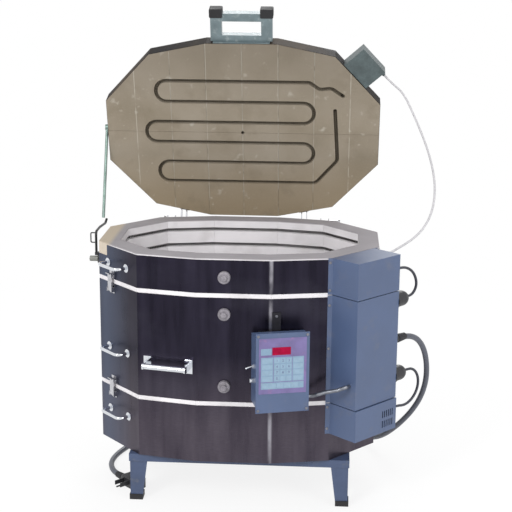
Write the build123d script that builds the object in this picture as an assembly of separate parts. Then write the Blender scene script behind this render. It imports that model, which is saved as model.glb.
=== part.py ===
from build123d import *
import os
from math import cos, pi, radians, sin, tan

os.makedirs("parts", exist_ok=True)

# Plan of the body, seen from above: a long oval of twelve flat sides
front_side = 228.0
shallow_side = 185.0
steep_side = 212.0
end_side = 205.0
shallow_turn = 12.0
steep_turn = 47.5

# Fire brick, sheet metal and heights
brick_wall = 63.5
brick_course = 114.3
middle_courses = 3
mortar_joint = 0.4
jacket_sheet = 0.8
jacket_fit = 0.2
seam_reveal = 14.0
rim_reveal = 5.0
stand_height = 155.0
pan_sheet = 1.0
floor_thickness = 75.0
part_fit = 0.2

# Heating elements, their grooves and their tails
coil_diameter = 10.0
groove_diameter = 12.6
groove_depth = 14.0
coil_seat = 0.3
low_groove = 31.5
high_groove = 82.8
coil_corner = 18.0
tail_bend = 8.0
tail_in = -18.0
tail_climb = -46.0
tail_out = -68.0
tail_reach = 21.0
tail_hole_gap = 0.4
tail_mouth = (2.5, 4.0)
tail_corner_relief = 4.0

# Peepholes and their tapered plugs
peephole_place = -26.0
peephole_mouth = 25.0
peephole_taper = 0.05
plug_gap = 0.35
plug_length = 56.0
plug_head = 38.0
plug_head_depth = 13.0

# Stand: the body sits a little to the left of its middle
stand_half_length = 345.0
stand_half_width = 255.0
stand_shift = 16.0
rail_drop = 25.0
rail_flange = 38.0
angle_sheet = 3.0
leg_top_width = 57.0
leg_foot_width = 38.0
foot_size = 42.0
foot_height = 18.0
foot_slot_floor = 6.0
foot_slot_gap = 0.2

# Seam of the jackets on the left end near its front corner, its clamps, and the top jacket's cut corner
seam_place = 30.0
seam_gap = 6.0
top_notch = (47.0, 34.0)
clamp_drop = 40.0
clamp_reach = 24.0
clamp_band_width = 12.0
clamp_band_sheet = 0.7
clamp_housing = (26.0, 16.0, 6.5)

# Electrical boxes on the right front steep side
box_sheet = 1.2
box_left = -106.0
box_right = 82.0
box_depth = 104.0
bottom_box_extra = 4.0
box_seam = 2.5
bottom_box_foot = 14.0
box_flange = 13.0
vent_count = 6
vent_size = (4.0, 22.0)
vent_pitch = 9.0
back_plate_gap = 6.0
terminal_size = (18.0, 18.0, 20.0)
supply_block_place = ((-10.0, 60.0), (stand_height + 417.0, stand_height + 445.0), 22.0)
supply_screw_pitch = 17.0
relay_span = (14.0, 64.0)
relay_size = (50.0, 38.0)
relay_heights = (stand_height + 107.0, stand_height + 283.0, stand_height + 551.0)
core_place = ((0.0, 62.0), (stand_height + 217.0, stand_height + 269.0), 36.0)
winding_place = ((16.0, 46.0), (stand_height + 209.0, stand_height + 277.0), 46.0)
cord_line = 80.0
receptacle_diameter = 54.0
receptacle_depth = 8.0
plug_dome_diameter = 48.0
plug_dome_length = 56.0
upper_plug_z = stand_height + 497.0
lower_plug_z = stand_height + 256.0
upper_jumper_z = stand_height + 595.0
lower_jumper_z = stand_height + 145.0
jumper_diameter = 8.5
power_cord_diameter = 18.0
power_cord_z = stand_height + 370.0
gland_length = 14.0
power_gland_length = 26.0
power_cord_run = 46.0
lead_diameter = 7.0
lead_entry_place = (34.0, -14.5)

# Controller beside the boxes
controller_turn = 15.0
controller_left = -61.0
controller_right = 101.0
controller_z = stand_height + 198.0
controller_height = 247.0
controller_back = 12.0
controller_face = 82.0
controller_sheet = 1.5
case_insets = (18.0, 16.0)
overlay_margin = 9.0
overlay_top = 15.0
overlay_height = 172.0
overlay_sheet = 0.8
display_size = (56.0, 24.0)
key_size = 9.0
key_rows = 5
key_columns = 3
toggle_z = controller_z + 137.0
fuse_z = controller_z + 93.0
fitting_out = 46.0
toggle_rest = 16.0

# Hose from the controller to the boxes
hose_radius = 6.2
hose_valley = 5.1
hose_bore = 4.2
hose_pitch = 4.0
hose_straights = (26.0, 24.0)
hose_sag = ((281.0, -318.0, stand_height + 245.0), (320.0, -330.0, stand_height + 257.0))
hose_bend = 30.0

# Handles of the rings
bail_length = 128.0
bail_height = 40.0
bail_bar = 10.0
bail_bend = 17.0
bail_flange = 26.0
bail_flange_depth = 3.0
bail_heights = (stand_height + 110.0, stand_height + 318.0, stand_height + 590.0)
grip_length = 157.0
grip_diameter = 18.0
grip_standoff = 38.0
grip_z = stand_height + 306.0
grip_plate = (24.0, 44.0, 3.0)

# Draw latches across the two seams
latch_place = -30.0
latch_width = 26.0
latch_lever_length = 58.0
latch_lever_sheet = 3.0
latch_pin = 5.0
latch_gap = 0.4

# Lid, its hinge and its handle: the lid hangs a little to the left of the body
lid_overhang = 14.0
lid_shift = -14.0
lid_thickness = 57.0
lid_gap = 0.6
lid_open = 74.0
band_sheet = 0.8
hinge_setback = 23.0
hinge_drop = 18.5
hinge_rod_diameter = 12.7
hinge_fit = 0.08
hinge_rod_span = (-286.0, 313.0)
body_bracket_place = 264.0
body_bracket_width = 30.0
lid_bracket_place = 207.0
lid_bracket_width = 20.0
bracket_sheet = 3.0
lid_row_pitch = 72.6
lid_groove_corner = 22.0
vent_hole = 12.0
seam_cut = (1.0, 1.2)
lid_seams = (-236.0, -119.0, 0.0, 119.0, 236.0)
handle_width = 199.0
handle_reach = 95.0
handle_arm = 36.0
handle_bar = 26.0
handle_foot = 20.0
handle_depth = 28.0
handle_sheet = 3.0
cap_reach = 15.0
cap_overlap = 14.0
cap_wall = 3.0
junction_left = -68.0
junction_right = 38.0
junction_depth = 83.0
junction_height = 48.0
junction_sheet = 1.2

# Prop at the left end
prop_height = 27.0
prop_x = -473.5
prop_rod_diameter = 10.0
prop_foot_place = (172.0, 13.5)
prop_eye = 20.0
prop_eye_width = 11.0
prop_pin = 6.0
pin_overrun = 3.0
prop_wire = 8.0
wire_gap = 2.0
prop_knob_drop = 91.5
prop_place = 30.0
knob_diameter = 18.0
knob_length = 27.0
knob_stud = 6.0
knob_fit = 0.1
knob_stud_length = 38.0

# Heights and offsets worked out from the sizes above
slab_z = stand_height + pan_sheet
bottom_z = slab_z + floor_thickness
middle_z = bottom_z + brick_course
top_z = middle_z + middle_courses * brick_course
rim_z = top_z + brick_course
hinge_z = rim_z - hinge_drop
prop_foot = (prop_foot_place[0], rim_z + prop_foot_place[1])
prop_knob_z = rim_z - prop_knob_drop
lead_entry = (lead_entry_place[0], rim_z + lead_entry_place[1])
brick_face = -(jacket_sheet + jacket_fit)
chamber_face = brick_face - brick_wall
groove_axis = chamber_face + groove_depth - groove_diameter / 2
coil_axis = chamber_face + groove_depth - coil_seat - coil_diameter / 2
coil_radius = coil_diameter / 2
groove_radius = groove_diameter / 2
FRONT, FRONT_RIGHT, STEEP_RIGHT = 0, 1, 2
BACK_STEEP_RIGHT, BACK_RIGHT, BACK_LEFT = 4, 5, 7
LEFT, STEEP_LEFT, FRONT_LEFT = 9, 10, 11
SIDE_COUNT = 12

shallow_run = (shallow_side * cos(radians(shallow_turn)), shallow_side * sin(radians(shallow_turn)))
steep_run = (steep_side * cos(radians(steep_turn)), steep_side * sin(radians(steep_turn)))
half_length = front_side / 2 + shallow_run[0] + steep_run[0]
half_width = end_side / 2 + shallow_run[1] + steep_run[1]
quarter = [
    (front_side / 2, -half_width),
    (front_side / 2 + shallow_run[0], -half_width + shallow_run[1]),
    (half_length, -end_side / 2),
]
right_half = quarter + [(x, -y) for x, y in reversed(quarter)]
corners = [Vector(x, y) for x, y in right_half + [(-x, -y) for x, y in right_half]]

nodes = {}


def add(name, *shapes):
    """Keeps the solids of one named piece, or of one group of alike pieces."""
    solids = [solid for shape in shapes for solid in shape.solids()]
    nodes.setdefault(name, []).extend(solids)


def side_frame(side, z=0.0):
    """The frame on one side's outer face: x along it, y up, z straight out."""
    start, end = corners[side - 1], corners[side]
    along = (end - start).normalized()
    outward = Vector(along.Y, -along.X)
    middle = (start + end) * 0.5
    return Plane(origin=Vector(middle.X, middle.Y, z), x_dir=along, z_dir=outward)


def side_length(side):
    return (corners[side] - corners[side - 1]).length


def oval(offset):
    """The twelve corners of the plan, moved out by an offset."""
    points = []
    for side in range(SIDE_COUNT):
        one = side_frame(side).z_dir
        other = side_frame((side + 1) % SIDE_COUNT).z_dir
        points.append(corners[side] + (one + other) * (offset / (1 + one.dot(other))))
    return points


def prism(points, low, high):
    flat = [Vector(p.X, p.Y, low) for p in points]
    return extrude(Face(Wire.make_polygon(flat)), amount=high - low, dir=(0, 0, 1))


def shell(outer, inner, low, high):
    """An upright wall between two offsets of the plan."""
    return prism(oval(outer), low, high) - prism(oval(inner), low - 1, high + 1)


def block(across, up, out):
    """A box from its low and high places along the three axes of a frame."""
    middle = Pos(sum(across) / 2, sum(up) / 2, sum(out) / 2)
    return middle * Box(across[1] - across[0], up[1] - up[0], out[1] - out[0])


def bar(start, end, radius):
    """A round bar between two points."""
    start, end = Vector(*start), Vector(*end)
    return extrude(Plane(origin=start, z_dir=end - start) * Circle(radius), amount=(end - start).length)


def profile(points, depth):
    """A flat outline in x and y, made deep along z."""
    return extrude(Face(Wire.make_polygon([Vector(x, y, 0) for x, y in points])), amount=depth, dir=(0, 0, 1))


def bent_bar(points, radii, radius):
    """A round bar or tube through points, with one bend radius at each inner point."""
    path = FilletPolyline(*points, radius=radii)
    start = Vector(*points[0])
    section = Plane(origin=start, z_dir=Vector(*points[1]) - start) * Circle(radius)
    return sweep(section, path=path)


def cord_radii(points):
    """The largest steady bends that the runs of a free cord allow."""
    places = [Vector(*p) for p in points]
    radii = []
    for before, here, after in zip(places, places[1:], places[2:]):
        turn = (here - before).get_angle(after - here)
        shorter = min((here - before).length, (after - here).length)
        radii.append(0.45 * shorter / tan(radians(turn) / 2))
    return radii


def free_cord(name, points, diameter):
    radii = cord_radii(points)
    tube = bent_bar(points, radii, diameter / 2)
    length = tube.volume / (pi * diameter**2 / 4)
    print(name, "length", round(length), "bends", [round(r) for r in radii])
    add(name, tube)


def to_world(plane, place):
    """A place in a frame, as a point of the whole object."""
    return plane.from_local_coords(Vector(*place))


# Stand: four angle legs in rubber feet under four angle rails
def leg(side_x, side_y, grow=0.0, low=foot_slot_floor, high=stand_height - angle_sheet):
    """One angle leg that narrows to its foot, at a corner of the stand."""
    outer = angle_sheet
    slope = (leg_top_width - leg_foot_width) / (stand_height - angle_sheet - foot_slot_floor)
    top_width = leg_foot_width + slope * (high - foot_slot_floor)
    low_width = leg_foot_width + slope * (low - foot_slot_floor)
    front = [(-grow, low), (low_width + grow, low), (top_width + grow, high), (-grow, high)]
    plate = Pos(0, angle_sheet + grow, 0) * (Plane.XZ * profile(front, angle_sheet + 2 * grow))
    turned = Pos(-grow, 0, 0) * (Plane.YZ * profile(front, angle_sheet + 2 * grow))
    angle = plate + turned
    corner = Pos(-(stand_half_length - outer), -(stand_half_width - outer), 0) * angle
    if side_x > 0:
        corner = mirror(corner, Plane.YZ)
    if side_y > 0:
        corner = mirror(corner, Plane.XZ)
    return corner


def rail_pair(length_half, across):
    """Two facing rails of one length: an upright flange and a level one that carries the floor pan."""
    upright = block((-length_half, length_half), (-across, -across + angle_sheet),
                    (stand_height - rail_drop, stand_height - part_fit))
    level = block((-length_half, length_half), (-across + angle_sheet, -across + rail_flange),
                  (stand_height - angle_sheet, stand_height - part_fit))
    rail = upright + level
    return [rail, mirror(rail, Plane.XZ)]


stand_place = Pos(stand_shift, 0, 0)
for rail in rail_pair(stand_half_length, stand_half_width):
    add("stand_frame", stand_place * rail)
for rail in rail_pair(stand_half_width - rail_flange, stand_half_length):
    add("stand_frame", stand_place * Rot(0, 0, 90) * rail)
for side_x in (-1, 1):
    for side_y in (-1, 1):
        add("stand_frame", stand_place * leg(side_x, side_y, high=stand_height - angle_sheet - part_fit))
        foot_x = side_x * (stand_half_length - foot_size / 2)
        foot_y = side_y * (stand_half_width - foot_size / 2)
        foot = Pos(foot_x, foot_y, foot_height / 2) * Box(foot_size, foot_size, foot_height)
        slot = leg(side_x, side_y, foot_slot_gap, foot_slot_floor, foot_height + 1)
        add("leg_feet", stand_place * (foot - slot))

# Floor: a sheet pan and a slab of brick on it
add("floor_pan", prism(oval(brick_face), stand_height, slab_z))
add("floor_slab", prism(oval(brick_face), slab_z, bottom_z))


# Rings of mitred bricks, with two grooves round the inside of each course
def groove_cut(start, end, towards_chamber):
    """A round-bottomed slot between two places on its axis, open to the chamber."""
    round_part = bar(start, end, groove_radius)
    start, end = Vector(*start), Vector(*end)
    middle = (start + end) * 0.5
    run = end - start
    depth = towards_chamber
    size = (abs(run.X) + (0 if abs(run.X) > 1 else groove_diameter),
            abs(run.Y) + (0 if abs(run.Y) > 1 else groove_diameter), depth)
    return round_part + Pos(middle.X, middle.Y, middle.Z - depth / 2) * Box(*size)


def course(base):
    """The twelve bricks of one course, in side order."""
    outer, inner = oval(brick_face), oval(chamber_face)
    bricks = []
    for side in range(SIDE_COUNT):
        frame = side_frame(side, base)
        gap = frame.x_dir * (mortar_joint / 2)
        outline = [outer[side - 1] + gap, outer[side] - gap, inner[side] - gap, inner[side - 1] + gap]
        brick = prism(outline, base, base + brick_course)
        reach = side_length(side) / 2 + brick_wall
        for height in (low_groove, high_groove):
            cut = groove_cut((-reach, height, groove_axis), (reach, height, groove_axis), groove_depth)
            brick -= frame * cut
        if side == STEEP_RIGHT:
            climb = groove_cut((tail_climb, low_groove, groove_axis), (tail_climb, high_groove, groove_axis),
                               groove_depth)
            brick -= frame * climb
            for height in (low_groove, high_groove):
                turn_start = (tail_climb, height, chamber_face - 1)
                turn_end = (tail_climb, height, groove_axis + groove_radius)
                brick -= frame * bar(turn_start, turn_end, coil_radius + tail_corner_relief)
            for place, height in ((tail_in, low_groove), (tail_out, high_groove)):
                hole = bar((place, height, groove_axis), (place, height, 1), coil_radius + tail_hole_gap)
                mouth_end = groove_axis + groove_radius + tail_mouth[1]
                mouth = bar((place, height, groove_axis), (place, height, mouth_end),
                            coil_radius + tail_mouth[0])
                brick -= frame * (hole + mouth)
        bricks.append(brick)
    return bricks


def peephole(z, grow=0.0, low=chamber_face - 1, high=1.0):
    """The taper through the front wall, between two depths, on the front face's frame."""
    mouth = peephole_mouth / 2 + grow
    cone = Cone(mouth + peephole_taper * high, mouth + peephole_taper * low, high - low,
                align=(Align.CENTER, Align.CENTER, Align.MIN))
    return side_frame(FRONT, z) * Pos(peephole_place, 0, high) * Rot(180, 0, 0) * cone


peephole_heights = {
    "top": top_z + brick_course / 2,
    "upper": middle_z + brick_course * (middle_courses - 0.5),
    "lower": middle_z + brick_course / 2,
}
probe_z = middle_z + 1.5 * brick_course
probe_place = 40.0
probe_diameter = 8.0
probe_fit = 0.2
knob_hole = bar((-prop_place, prop_knob_z, 1), (-prop_place, prop_knob_z, -knob_stud_length),
                knob_stud / 2 + knob_fit)


def ring_bricks(name, base, courses, cuts):
    for row in range(courses):
        for brick in course(base + row * brick_course):
            for cut in cuts:
                if (brick & cut).volume > 1:
                    brick -= cut
            add(name, brick)


probe_hole = bar((probe_place, probe_z, chamber_face - 1), (probe_place, probe_z, 1),
                 probe_diameter / 2 + probe_fit)
probe_hole = side_frame(STEEP_RIGHT) * probe_hole
ring_bricks("bottom_ring_bricks", bottom_z, 1, [])
ring_bricks("middle_ring_bricks", middle_z, middle_courses,
            [peephole(peephole_heights["upper"]), peephole(peephole_heights["lower"]), probe_hole])
ring_bricks("top_ring_bricks", top_z, 1, [peephole(peephole_heights["top"]), side_frame(LEFT) * knob_hole])


# Elements: each goes round twice, in at the low groove and out at the high one
def element(base):
    frame = side_frame(STEEP_RIGHT, base)
    line = oval(coil_axis)
    order = [(STEEP_RIGHT + step) % SIDE_COUNT for step in range(SIDE_COUNT)]
    turn_low = [Vector(line[k].X, line[k].Y, base + low_groove) for k in order]
    turn_high = [Vector(line[k].X, line[k].Y, base + high_groove) for k in order]
    points = [to_world(frame, (tail_in, low_groove, tail_reach)),
              to_world(frame, (tail_in, low_groove, coil_axis))]
    points += turn_low
    points += [to_world(frame, (tail_climb, low_groove, coil_axis)),
               to_world(frame, (tail_climb, high_groove, coil_axis))]
    points += turn_high
    points += [to_world(frame, (tail_out, high_groove, coil_axis)),
               to_world(frame, (tail_out, high_groove, tail_reach))]
    round_once = [coil_corner] * SIDE_COUNT
    bends = [tail_bend, *round_once, tail_bend, tail_bend, *round_once, tail_bend]
    return bent_bar([tuple(p) for p in points], bends, coil_radius)


add("bottom_element", element(bottom_z))
for row in range(middle_courses):
    add("middle_elements", element(middle_z + row * brick_course))
add("top_element", element(top_z))
course_bases = [bottom_z + row * brick_course for row in range(middle_courses + 2)]


# Jackets: one sheet round each ring, open at a seam on the left end
def tail_places(low, high):
    """The tails that come out between two heights, on the frame of the boxes' side."""
    places = [(tail_in, base + low_groove) for base in course_bases]
    places += [(tail_out, base + high_groove) for base in course_bases]
    return [(place, height) for place, height in places if low < height < high]


def jacket(low, high):
    """A sheet between two heights, with its seam and the holes of the tails."""
    sheet = shell(0, -jacket_sheet, low, high)
    sheet -= side_frame(LEFT) * block((seam_start, seam_end), (low - 1, high + 1), jacket_cut)
    for place, height in tail_places(low, high):
        sheet -= side_frame(STEEP_RIGHT) * bar((place, height, -5), (place, height, 5), coil_radius + 2)
    return sheet


jacket_cut = (-5, 5)
seam_end = side_length(LEFT) / 2 - seam_place
seam_start = seam_end - seam_gap
bottom_jacket_top = middle_z - seam_reveal / 2
middle_jacket_span = (middle_z + seam_reveal / 2, top_z - seam_reveal / 2)
top_jacket_span = (top_z + seam_reveal / 2, rim_z - rim_reveal)
plug_holes = [peephole(z, 0.5) for z in peephole_heights.values()]
middle_sheet = jacket(*middle_jacket_span) - plug_holes[1] - plug_holes[2] - probe_hole
top_sheet = jacket(*top_jacket_span) - plug_holes[0] - side_frame(LEFT) * knob_hole
notch_up = (top_jacket_span[1] - top_notch[1], top_jacket_span[1] + 1)
notch_corner = side_length(STEEP_LEFT) / 2
notch_span = (-notch_corner - 5, -notch_corner + top_notch[0])
top_sheet -= side_frame(STEEP_LEFT) * block(notch_span, notch_up, jacket_cut)
top_sheet -= side_frame(LEFT) * block((seam_start, seam_end + seam_place + 5), notch_up, jacket_cut)
add("bottom_jacket", jacket(stand_height, bottom_jacket_top))
add("middle_jacket", middle_sheet)
add("top_jacket", top_sheet)

# Clamps that draw each jacket together across its seam
clamp_heights = [stand_height + clamp_drop, middle_jacket_span[0] + clamp_drop,
                 middle_jacket_span[1] - clamp_drop, top_jacket_span[1] - clamp_drop]
for height in clamp_heights:
    band = shell(part_fit + clamp_band_sheet, part_fit,
                 height - clamp_band_width / 2, height + clamp_band_width / 2)
    strap_span = (seam_start - clamp_reach * 2, seam_end + clamp_reach)
    strap_up = (height - clamp_band_width, height + clamp_band_width)
    strap = band & side_frame(LEFT) * block(strap_span, strap_up, (-1, 4))
    across, up, out = clamp_housing
    middle = seam_start - clamp_reach
    housing = block((middle - across / 2, middle + across / 2), (height - up / 2, height + up / 2),
                    (part_fit + clamp_band_sheet / 2, part_fit + out))
    worm_line = part_fit + out - 2
    worm = bar((middle - across, height, worm_line), (middle + across, height, worm_line), 2)
    add("jacket_clamps", strap + side_frame(LEFT) * (housing + worm))


# Peephole plugs: a domed head and a long taper
def peephole_plug(z):
    taper = peephole(z, -plug_gap, -plug_length, part_fit)
    dome = Cylinder(plug_head / 2, plug_head_depth, align=(Align.CENTER, Align.CENTER, Align.MIN))
    dome = fillet(dome.edges().group_by(Axis.Z)[-1], 5)
    grip = Cylinder(plug_head / 4, plug_head_depth + 7, align=(Align.CENTER, Align.CENTER, Align.MIN))
    grip = fillet(grip.edges().group_by(Axis.Z)[-1], 3)
    head = side_frame(FRONT, z) * Pos(peephole_place, 0, part_fit) * (dome + grip)
    return taper + head


for name, z in peephole_heights.items():
    add("peephole_plug_" + name, peephole_plug(z))

# Electrical boxes: three covers on one back plate each
boxes = side_frame(STEEP_RIGHT)
box_spans = {
    "bottom": (bottom_z + bottom_box_foot, middle_z - box_seam / 2),
    "middle": (middle_z + box_seam / 2, top_z - box_seam / 2),
    "top": (top_z + box_seam / 2, rim_z - 0.5),
}


def box_cover(low, high, depth):
    outside = block((box_left, box_right), (low, high), (part_fit, depth))
    inside = block((box_left + box_sheet, box_right - box_sheet), (low + box_sheet, high - box_sheet),
                   (-1, depth - box_sheet))
    cover = boxes * (outside - inside)
    right_flange = block((box_right - 0.5, box_right + box_flange), (low, high),
                         (part_fit, part_fit + box_sheet))
    corner = side_length(FRONT_RIGHT) / 2
    left_flange = block((corner - box_flange, corner + 1.5), (low, high), (part_fit, part_fit + box_sheet))
    return cover + boxes * right_flange + side_frame(FRONT_RIGHT) * left_flange


def wall_hole(z, out, radius):
    """A round hole through the right wall of the boxes."""
    return boxes * bar((box_right - 5, z, out), (box_right + 5, z, out), radius)


def vent_rows(low):
    cuts = []
    for step in range(vent_count):
        for row in range(2):
            up = low + 16 + row * 32
            across = box_right - 16 - step * vent_pitch
            cuts.append(boxes * block((across - vent_size[0], across), (up, up + vent_size[1]),
                                      (box_depth - 5, box_depth + bottom_box_extra + 5)))
    return cuts


hose_end = (80.0, stand_height + 265.0)
bottom_cover = box_cover(*box_spans["bottom"], box_depth + bottom_box_extra)
for vent in vent_rows(box_spans["bottom"][0]):
    bottom_cover -= vent
bottom_cover -= wall_hole(lower_jumper_z, cord_line, jumper_diameter / 2 + 1)
middle_cover = box_cover(*box_spans["middle"], box_depth)
middle_cover -= wall_hole(power_cord_z, cord_line, power_cord_diameter / 2 + 2)
middle_cover -= wall_hole(upper_plug_z, cord_line, receptacle_diameter / 4)
middle_cover -= wall_hole(lower_plug_z, cord_line, receptacle_diameter / 4)
hose_hole = bar((box_left - 5, hose_end[1], hose_end[0]), (box_left + 5, hose_end[1], hose_end[0]), hose_bore)
middle_cover -= boxes * hose_hole
top_cover = box_cover(*box_spans["top"], box_depth)
top_cover -= wall_hole(upper_jumper_z, cord_line, jumper_diameter / 2 + 1)
top_cover -= wall_hole(lead_entry[1], lead_entry[0], lead_diameter / 2 + 1)
add("bottom_box_cover", bottom_cover)
add("middle_box_cover", middle_cover)
add("top_box_cover", top_cover)

# Inside the boxes: back plates, terminals, relays and a transformer
plate_front = part_fit + box_sheet
for low, high in box_spans.values():
    plate = boxes * block((box_left + back_plate_gap, box_right - back_plate_gap),
                          (low + back_plate_gap, high - back_plate_gap), (part_fit, plate_front))
    for place, height in tail_places(low, high):
        plate -= boxes * bar((place, height, -1), (place, height, 5), coil_radius + 1)
    plate -= boxes * bar((probe_place, probe_z, -1), (probe_place, probe_z, 5), probe_diameter / 2 + 1)
    add("box_back_plates", plate)
for place, height in tail_places(bottom_z, rim_z):
    across, up, out = terminal_size
    terminal = block((place - across / 2, place + across / 2), (height - up / 2, height + up / 2),
                     (plate_front, plate_front + out))
    terminal -= bar((place, height, 0), (place, height, plate_front + out + 1), coil_radius + part_fit)
    add("terminal_blocks", boxes * terminal)
supply_across, supply_up, supply_out = supply_block_place
supply_block = block(supply_across, supply_up, (plate_front, plate_front + supply_out))
for step in range(4):
    screw_place = supply_across[0] + 9 + step * supply_screw_pitch
    supply_block -= bar((screw_place, sum(supply_up) / 2, plate_front + 10),
                        (screw_place, sum(supply_up) / 2, plate_front + supply_out + 1), 5)
add("terminal_blocks", boxes * supply_block)
for relay_low in relay_heights:
    relay = block(relay_span, (relay_low, relay_low + relay_size[0]),
                  (plate_front, plate_front + relay_size[1]))
    for step in range(4):
        tab = relay_span[0] + 6 + step * 11
        relay += block((tab, tab + 5), (relay_low + 12, relay_low + 13),
                       (plate_front + relay_size[1] - 1, plate_front + relay_size[1] + 9))
    add("power_relays", boxes * relay)
core = block(core_place[0], core_place[1], (plate_front, plate_front + core_place[2]))
winding = block(winding_place[0], winding_place[1], (plate_front + 3, plate_front + winding_place[2]))
add("control_transformer", boxes * (core + winding))


# Sockets, glands and plugs on the right wall
def wall_frame(z, out):
    """A frame on the right wall of the boxes, its z axis straight out of the wall."""
    origin = to_world(boxes, (box_right + part_fit, z, out))
    return Plane(origin=origin, x_dir=(0, 0, 1), z_dir=boxes.x_dir)


def stub(radius, low, high):
    return Pos(0, 0, low) * Cylinder(radius, high - low, align=(Align.CENTER, Align.CENTER, Align.MIN))


def plug_dome():
    """A round moulded plug that narrows to its cord."""
    straight = plug_dome_length * 0.45
    radius = plug_dome_diameter / 2
    neck = jumper_diameter / 2 + 2
    outline = Polyline((0, 0), (radius, 0), (radius, straight))
    shoulder = (radius * 0.8, plug_dome_length * 0.8)
    crown = ThreePointArc((radius, straight), shoulder, (neck, plug_dome_length))
    edge = Polyline((neck, plug_dome_length), (0, plug_dome_length), (0, 0))
    return revolve(Plane.XZ * make_face(outline + crown + edge), Axis.Z)


for z in (upper_plug_z, lower_plug_z):
    wall = wall_frame(z, cord_line)
    add("jumper_receptacles", wall * stub(receptacle_diameter / 2, 0, receptacle_depth))
    add("jumper_plugs", wall * Pos(0, 0, receptacle_depth + part_fit) * plug_dome())
for z in (upper_jumper_z, lower_jumper_z):
    hex_nut = extrude(RegularPolygon(jumper_diameter, 6), amount=6)
    add("cord_glands", wall_frame(z, cord_line) * (hex_nut + stub(jumper_diameter * 0.8, 0, gland_length)))
power_nut = extrude(RegularPolygon(power_cord_diameter * 0.85, 6), amount=10)
add("cord_glands", wall_frame(power_cord_z, cord_line)
    * (power_nut + stub(power_cord_diameter * 0.68, 0, power_gland_length)))
add("cord_glands", wall_frame(lead_entry[1], lead_entry[0]) * stub(lead_diameter * 0.8, 0, gland_length))


# Cords of the jumpers, from gland to plug, on the frame of the boxes
def box_route(places):
    return [tuple(to_world(boxes, place)) for place in places]


gland_face = box_right + part_fit + gland_length
plug_face = box_right + part_fit * 2 + receptacle_depth + plug_dome_length
upper_jumper = box_route([
    (gland_face, upper_jumper_z, cord_line), (121, upper_jumper_z, cord_line),
    (146, upper_jumper_z - 6, 81), (168, upper_jumper_z - 20, 83), (183, upper_jumper_z - 41, 84),
    (191, upper_jumper_z - 66, 83), (184, upper_plug_z + 11, 81), (168, upper_plug_z, cord_line),
    (plug_face, upper_plug_z, cord_line),
])
lower_jumper = box_route([
    (gland_face, lower_jumper_z, cord_line), (122, lower_jumper_z, cord_line),
    (150, lower_jumper_z - 6, 81), (178, lower_jumper_z, 83), (202, lower_jumper_z + 18, 84),
    (215, lower_jumper_z + 44, 85), (216, lower_plug_z - 39, 84), (205, lower_plug_z - 16, 82),
    (187, lower_plug_z - 3, 81), (168, lower_plug_z, cord_line), (plug_face, lower_plug_z, cord_line),
])
free_cord("jumper_cord_upper", upper_jumper, jumper_diameter)
free_cord("jumper_cord_lower", lower_jumper, jumper_diameter)

# Supply cord: out of the boxes, down behind the body and round to its plug on the floor
floor_line = power_cord_diameter / 2 + 0.2
power_start = to_world(boxes, (box_right + part_fit + power_gland_length, power_cord_z, cord_line))
power_route = [
    tuple(power_start), tuple(power_start + boxes.x_dir * power_cord_run), (565, -84, 506), (590, -52, 464),
    (604, -24, 404), (607, 5, 334), (594, 36, 264), (568, 69, 202), (536, 104, 148), (505, 143, 102),
    (478, 188, 64), (450, 236, 36),
    (414, 282, 17), (368, 318, floor_line), (304, 343, floor_line), (222, 356, floor_line),
    (120, 351, floor_line), (0, 358, floor_line), (-118, 350, floor_line), (-218, 334, floor_line),
    (-303, 303, floor_line), (-358, 248, floor_line), (-386, 184, floor_line), (-412, 124, floor_line),
    (-430, 66, floor_line), (-435, 10, floor_line), (-424, -40, floor_line), (-403, -79, floor_line),
    (-375, -107, floor_line),
]
free_cord("power_cord", power_route, power_cord_diameter)

# Supply plug, lying on the floor with its blades to the left
plug_size = (78.0, 50.0, 30.0)
blade_size = (34.0, 7.0, 1.8)
plug_start, plug_before = Vector(*power_route[-1]), Vector(*power_route[-2])
plug_way = (plug_start - plug_before).normalized()
power_plug_frame = Plane(origin=plug_start, x_dir=plug_way, z_dir=(0, 0, 1))
relief = bar((0.1, 0, 0), (26, 0, 0), power_cord_diameter / 2 + 2.5)
relief &= block((0, 40), (-40, 40), (-floor_line, 40))
body = block((20, 20 + plug_size[0]), (-plug_size[1] / 2, plug_size[1] / 2),
             (-floor_line, plug_size[2] - floor_line))
body = fillet(body.edges().filter_by(Axis.Z), 11)
blades = []
for place in (38.0, 66.0):
    blade_span = (-plug_size[1] / 2 - blade_size[0], -plug_size[1] / 2 + 2)
    blades.append(block((place, place + blade_size[2]), blade_span, (3, 3 + blade_size[1] * 2)))
power_plug = relief + body
for blade in blades:
    power_plug += blade
power_plug += bar((53, -plug_size[1] / 2 - 38, 2), (53, -plug_size[1] / 2 + 2, 2), 2.6)
add("power_plug", power_plug_frame * power_plug)

# Thermocouple: a thin probe through the wall, with its ceramic block in the middle box
probe_reach = 32.0
probe_block = (26.0, 20.0, 16.0)
probe = bar((probe_place, probe_z, chamber_face - probe_reach), (probe_place, probe_z, plate_front + 12),
            probe_diameter / 2)
across, up, out = probe_block
probe += block((probe_place - across / 2, probe_place + across / 2), (probe_z - up / 2, probe_z + up / 2),
               (plate_front + part_fit, plate_front + part_fit + out))
add("thermocouple", boxes * probe)

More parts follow.
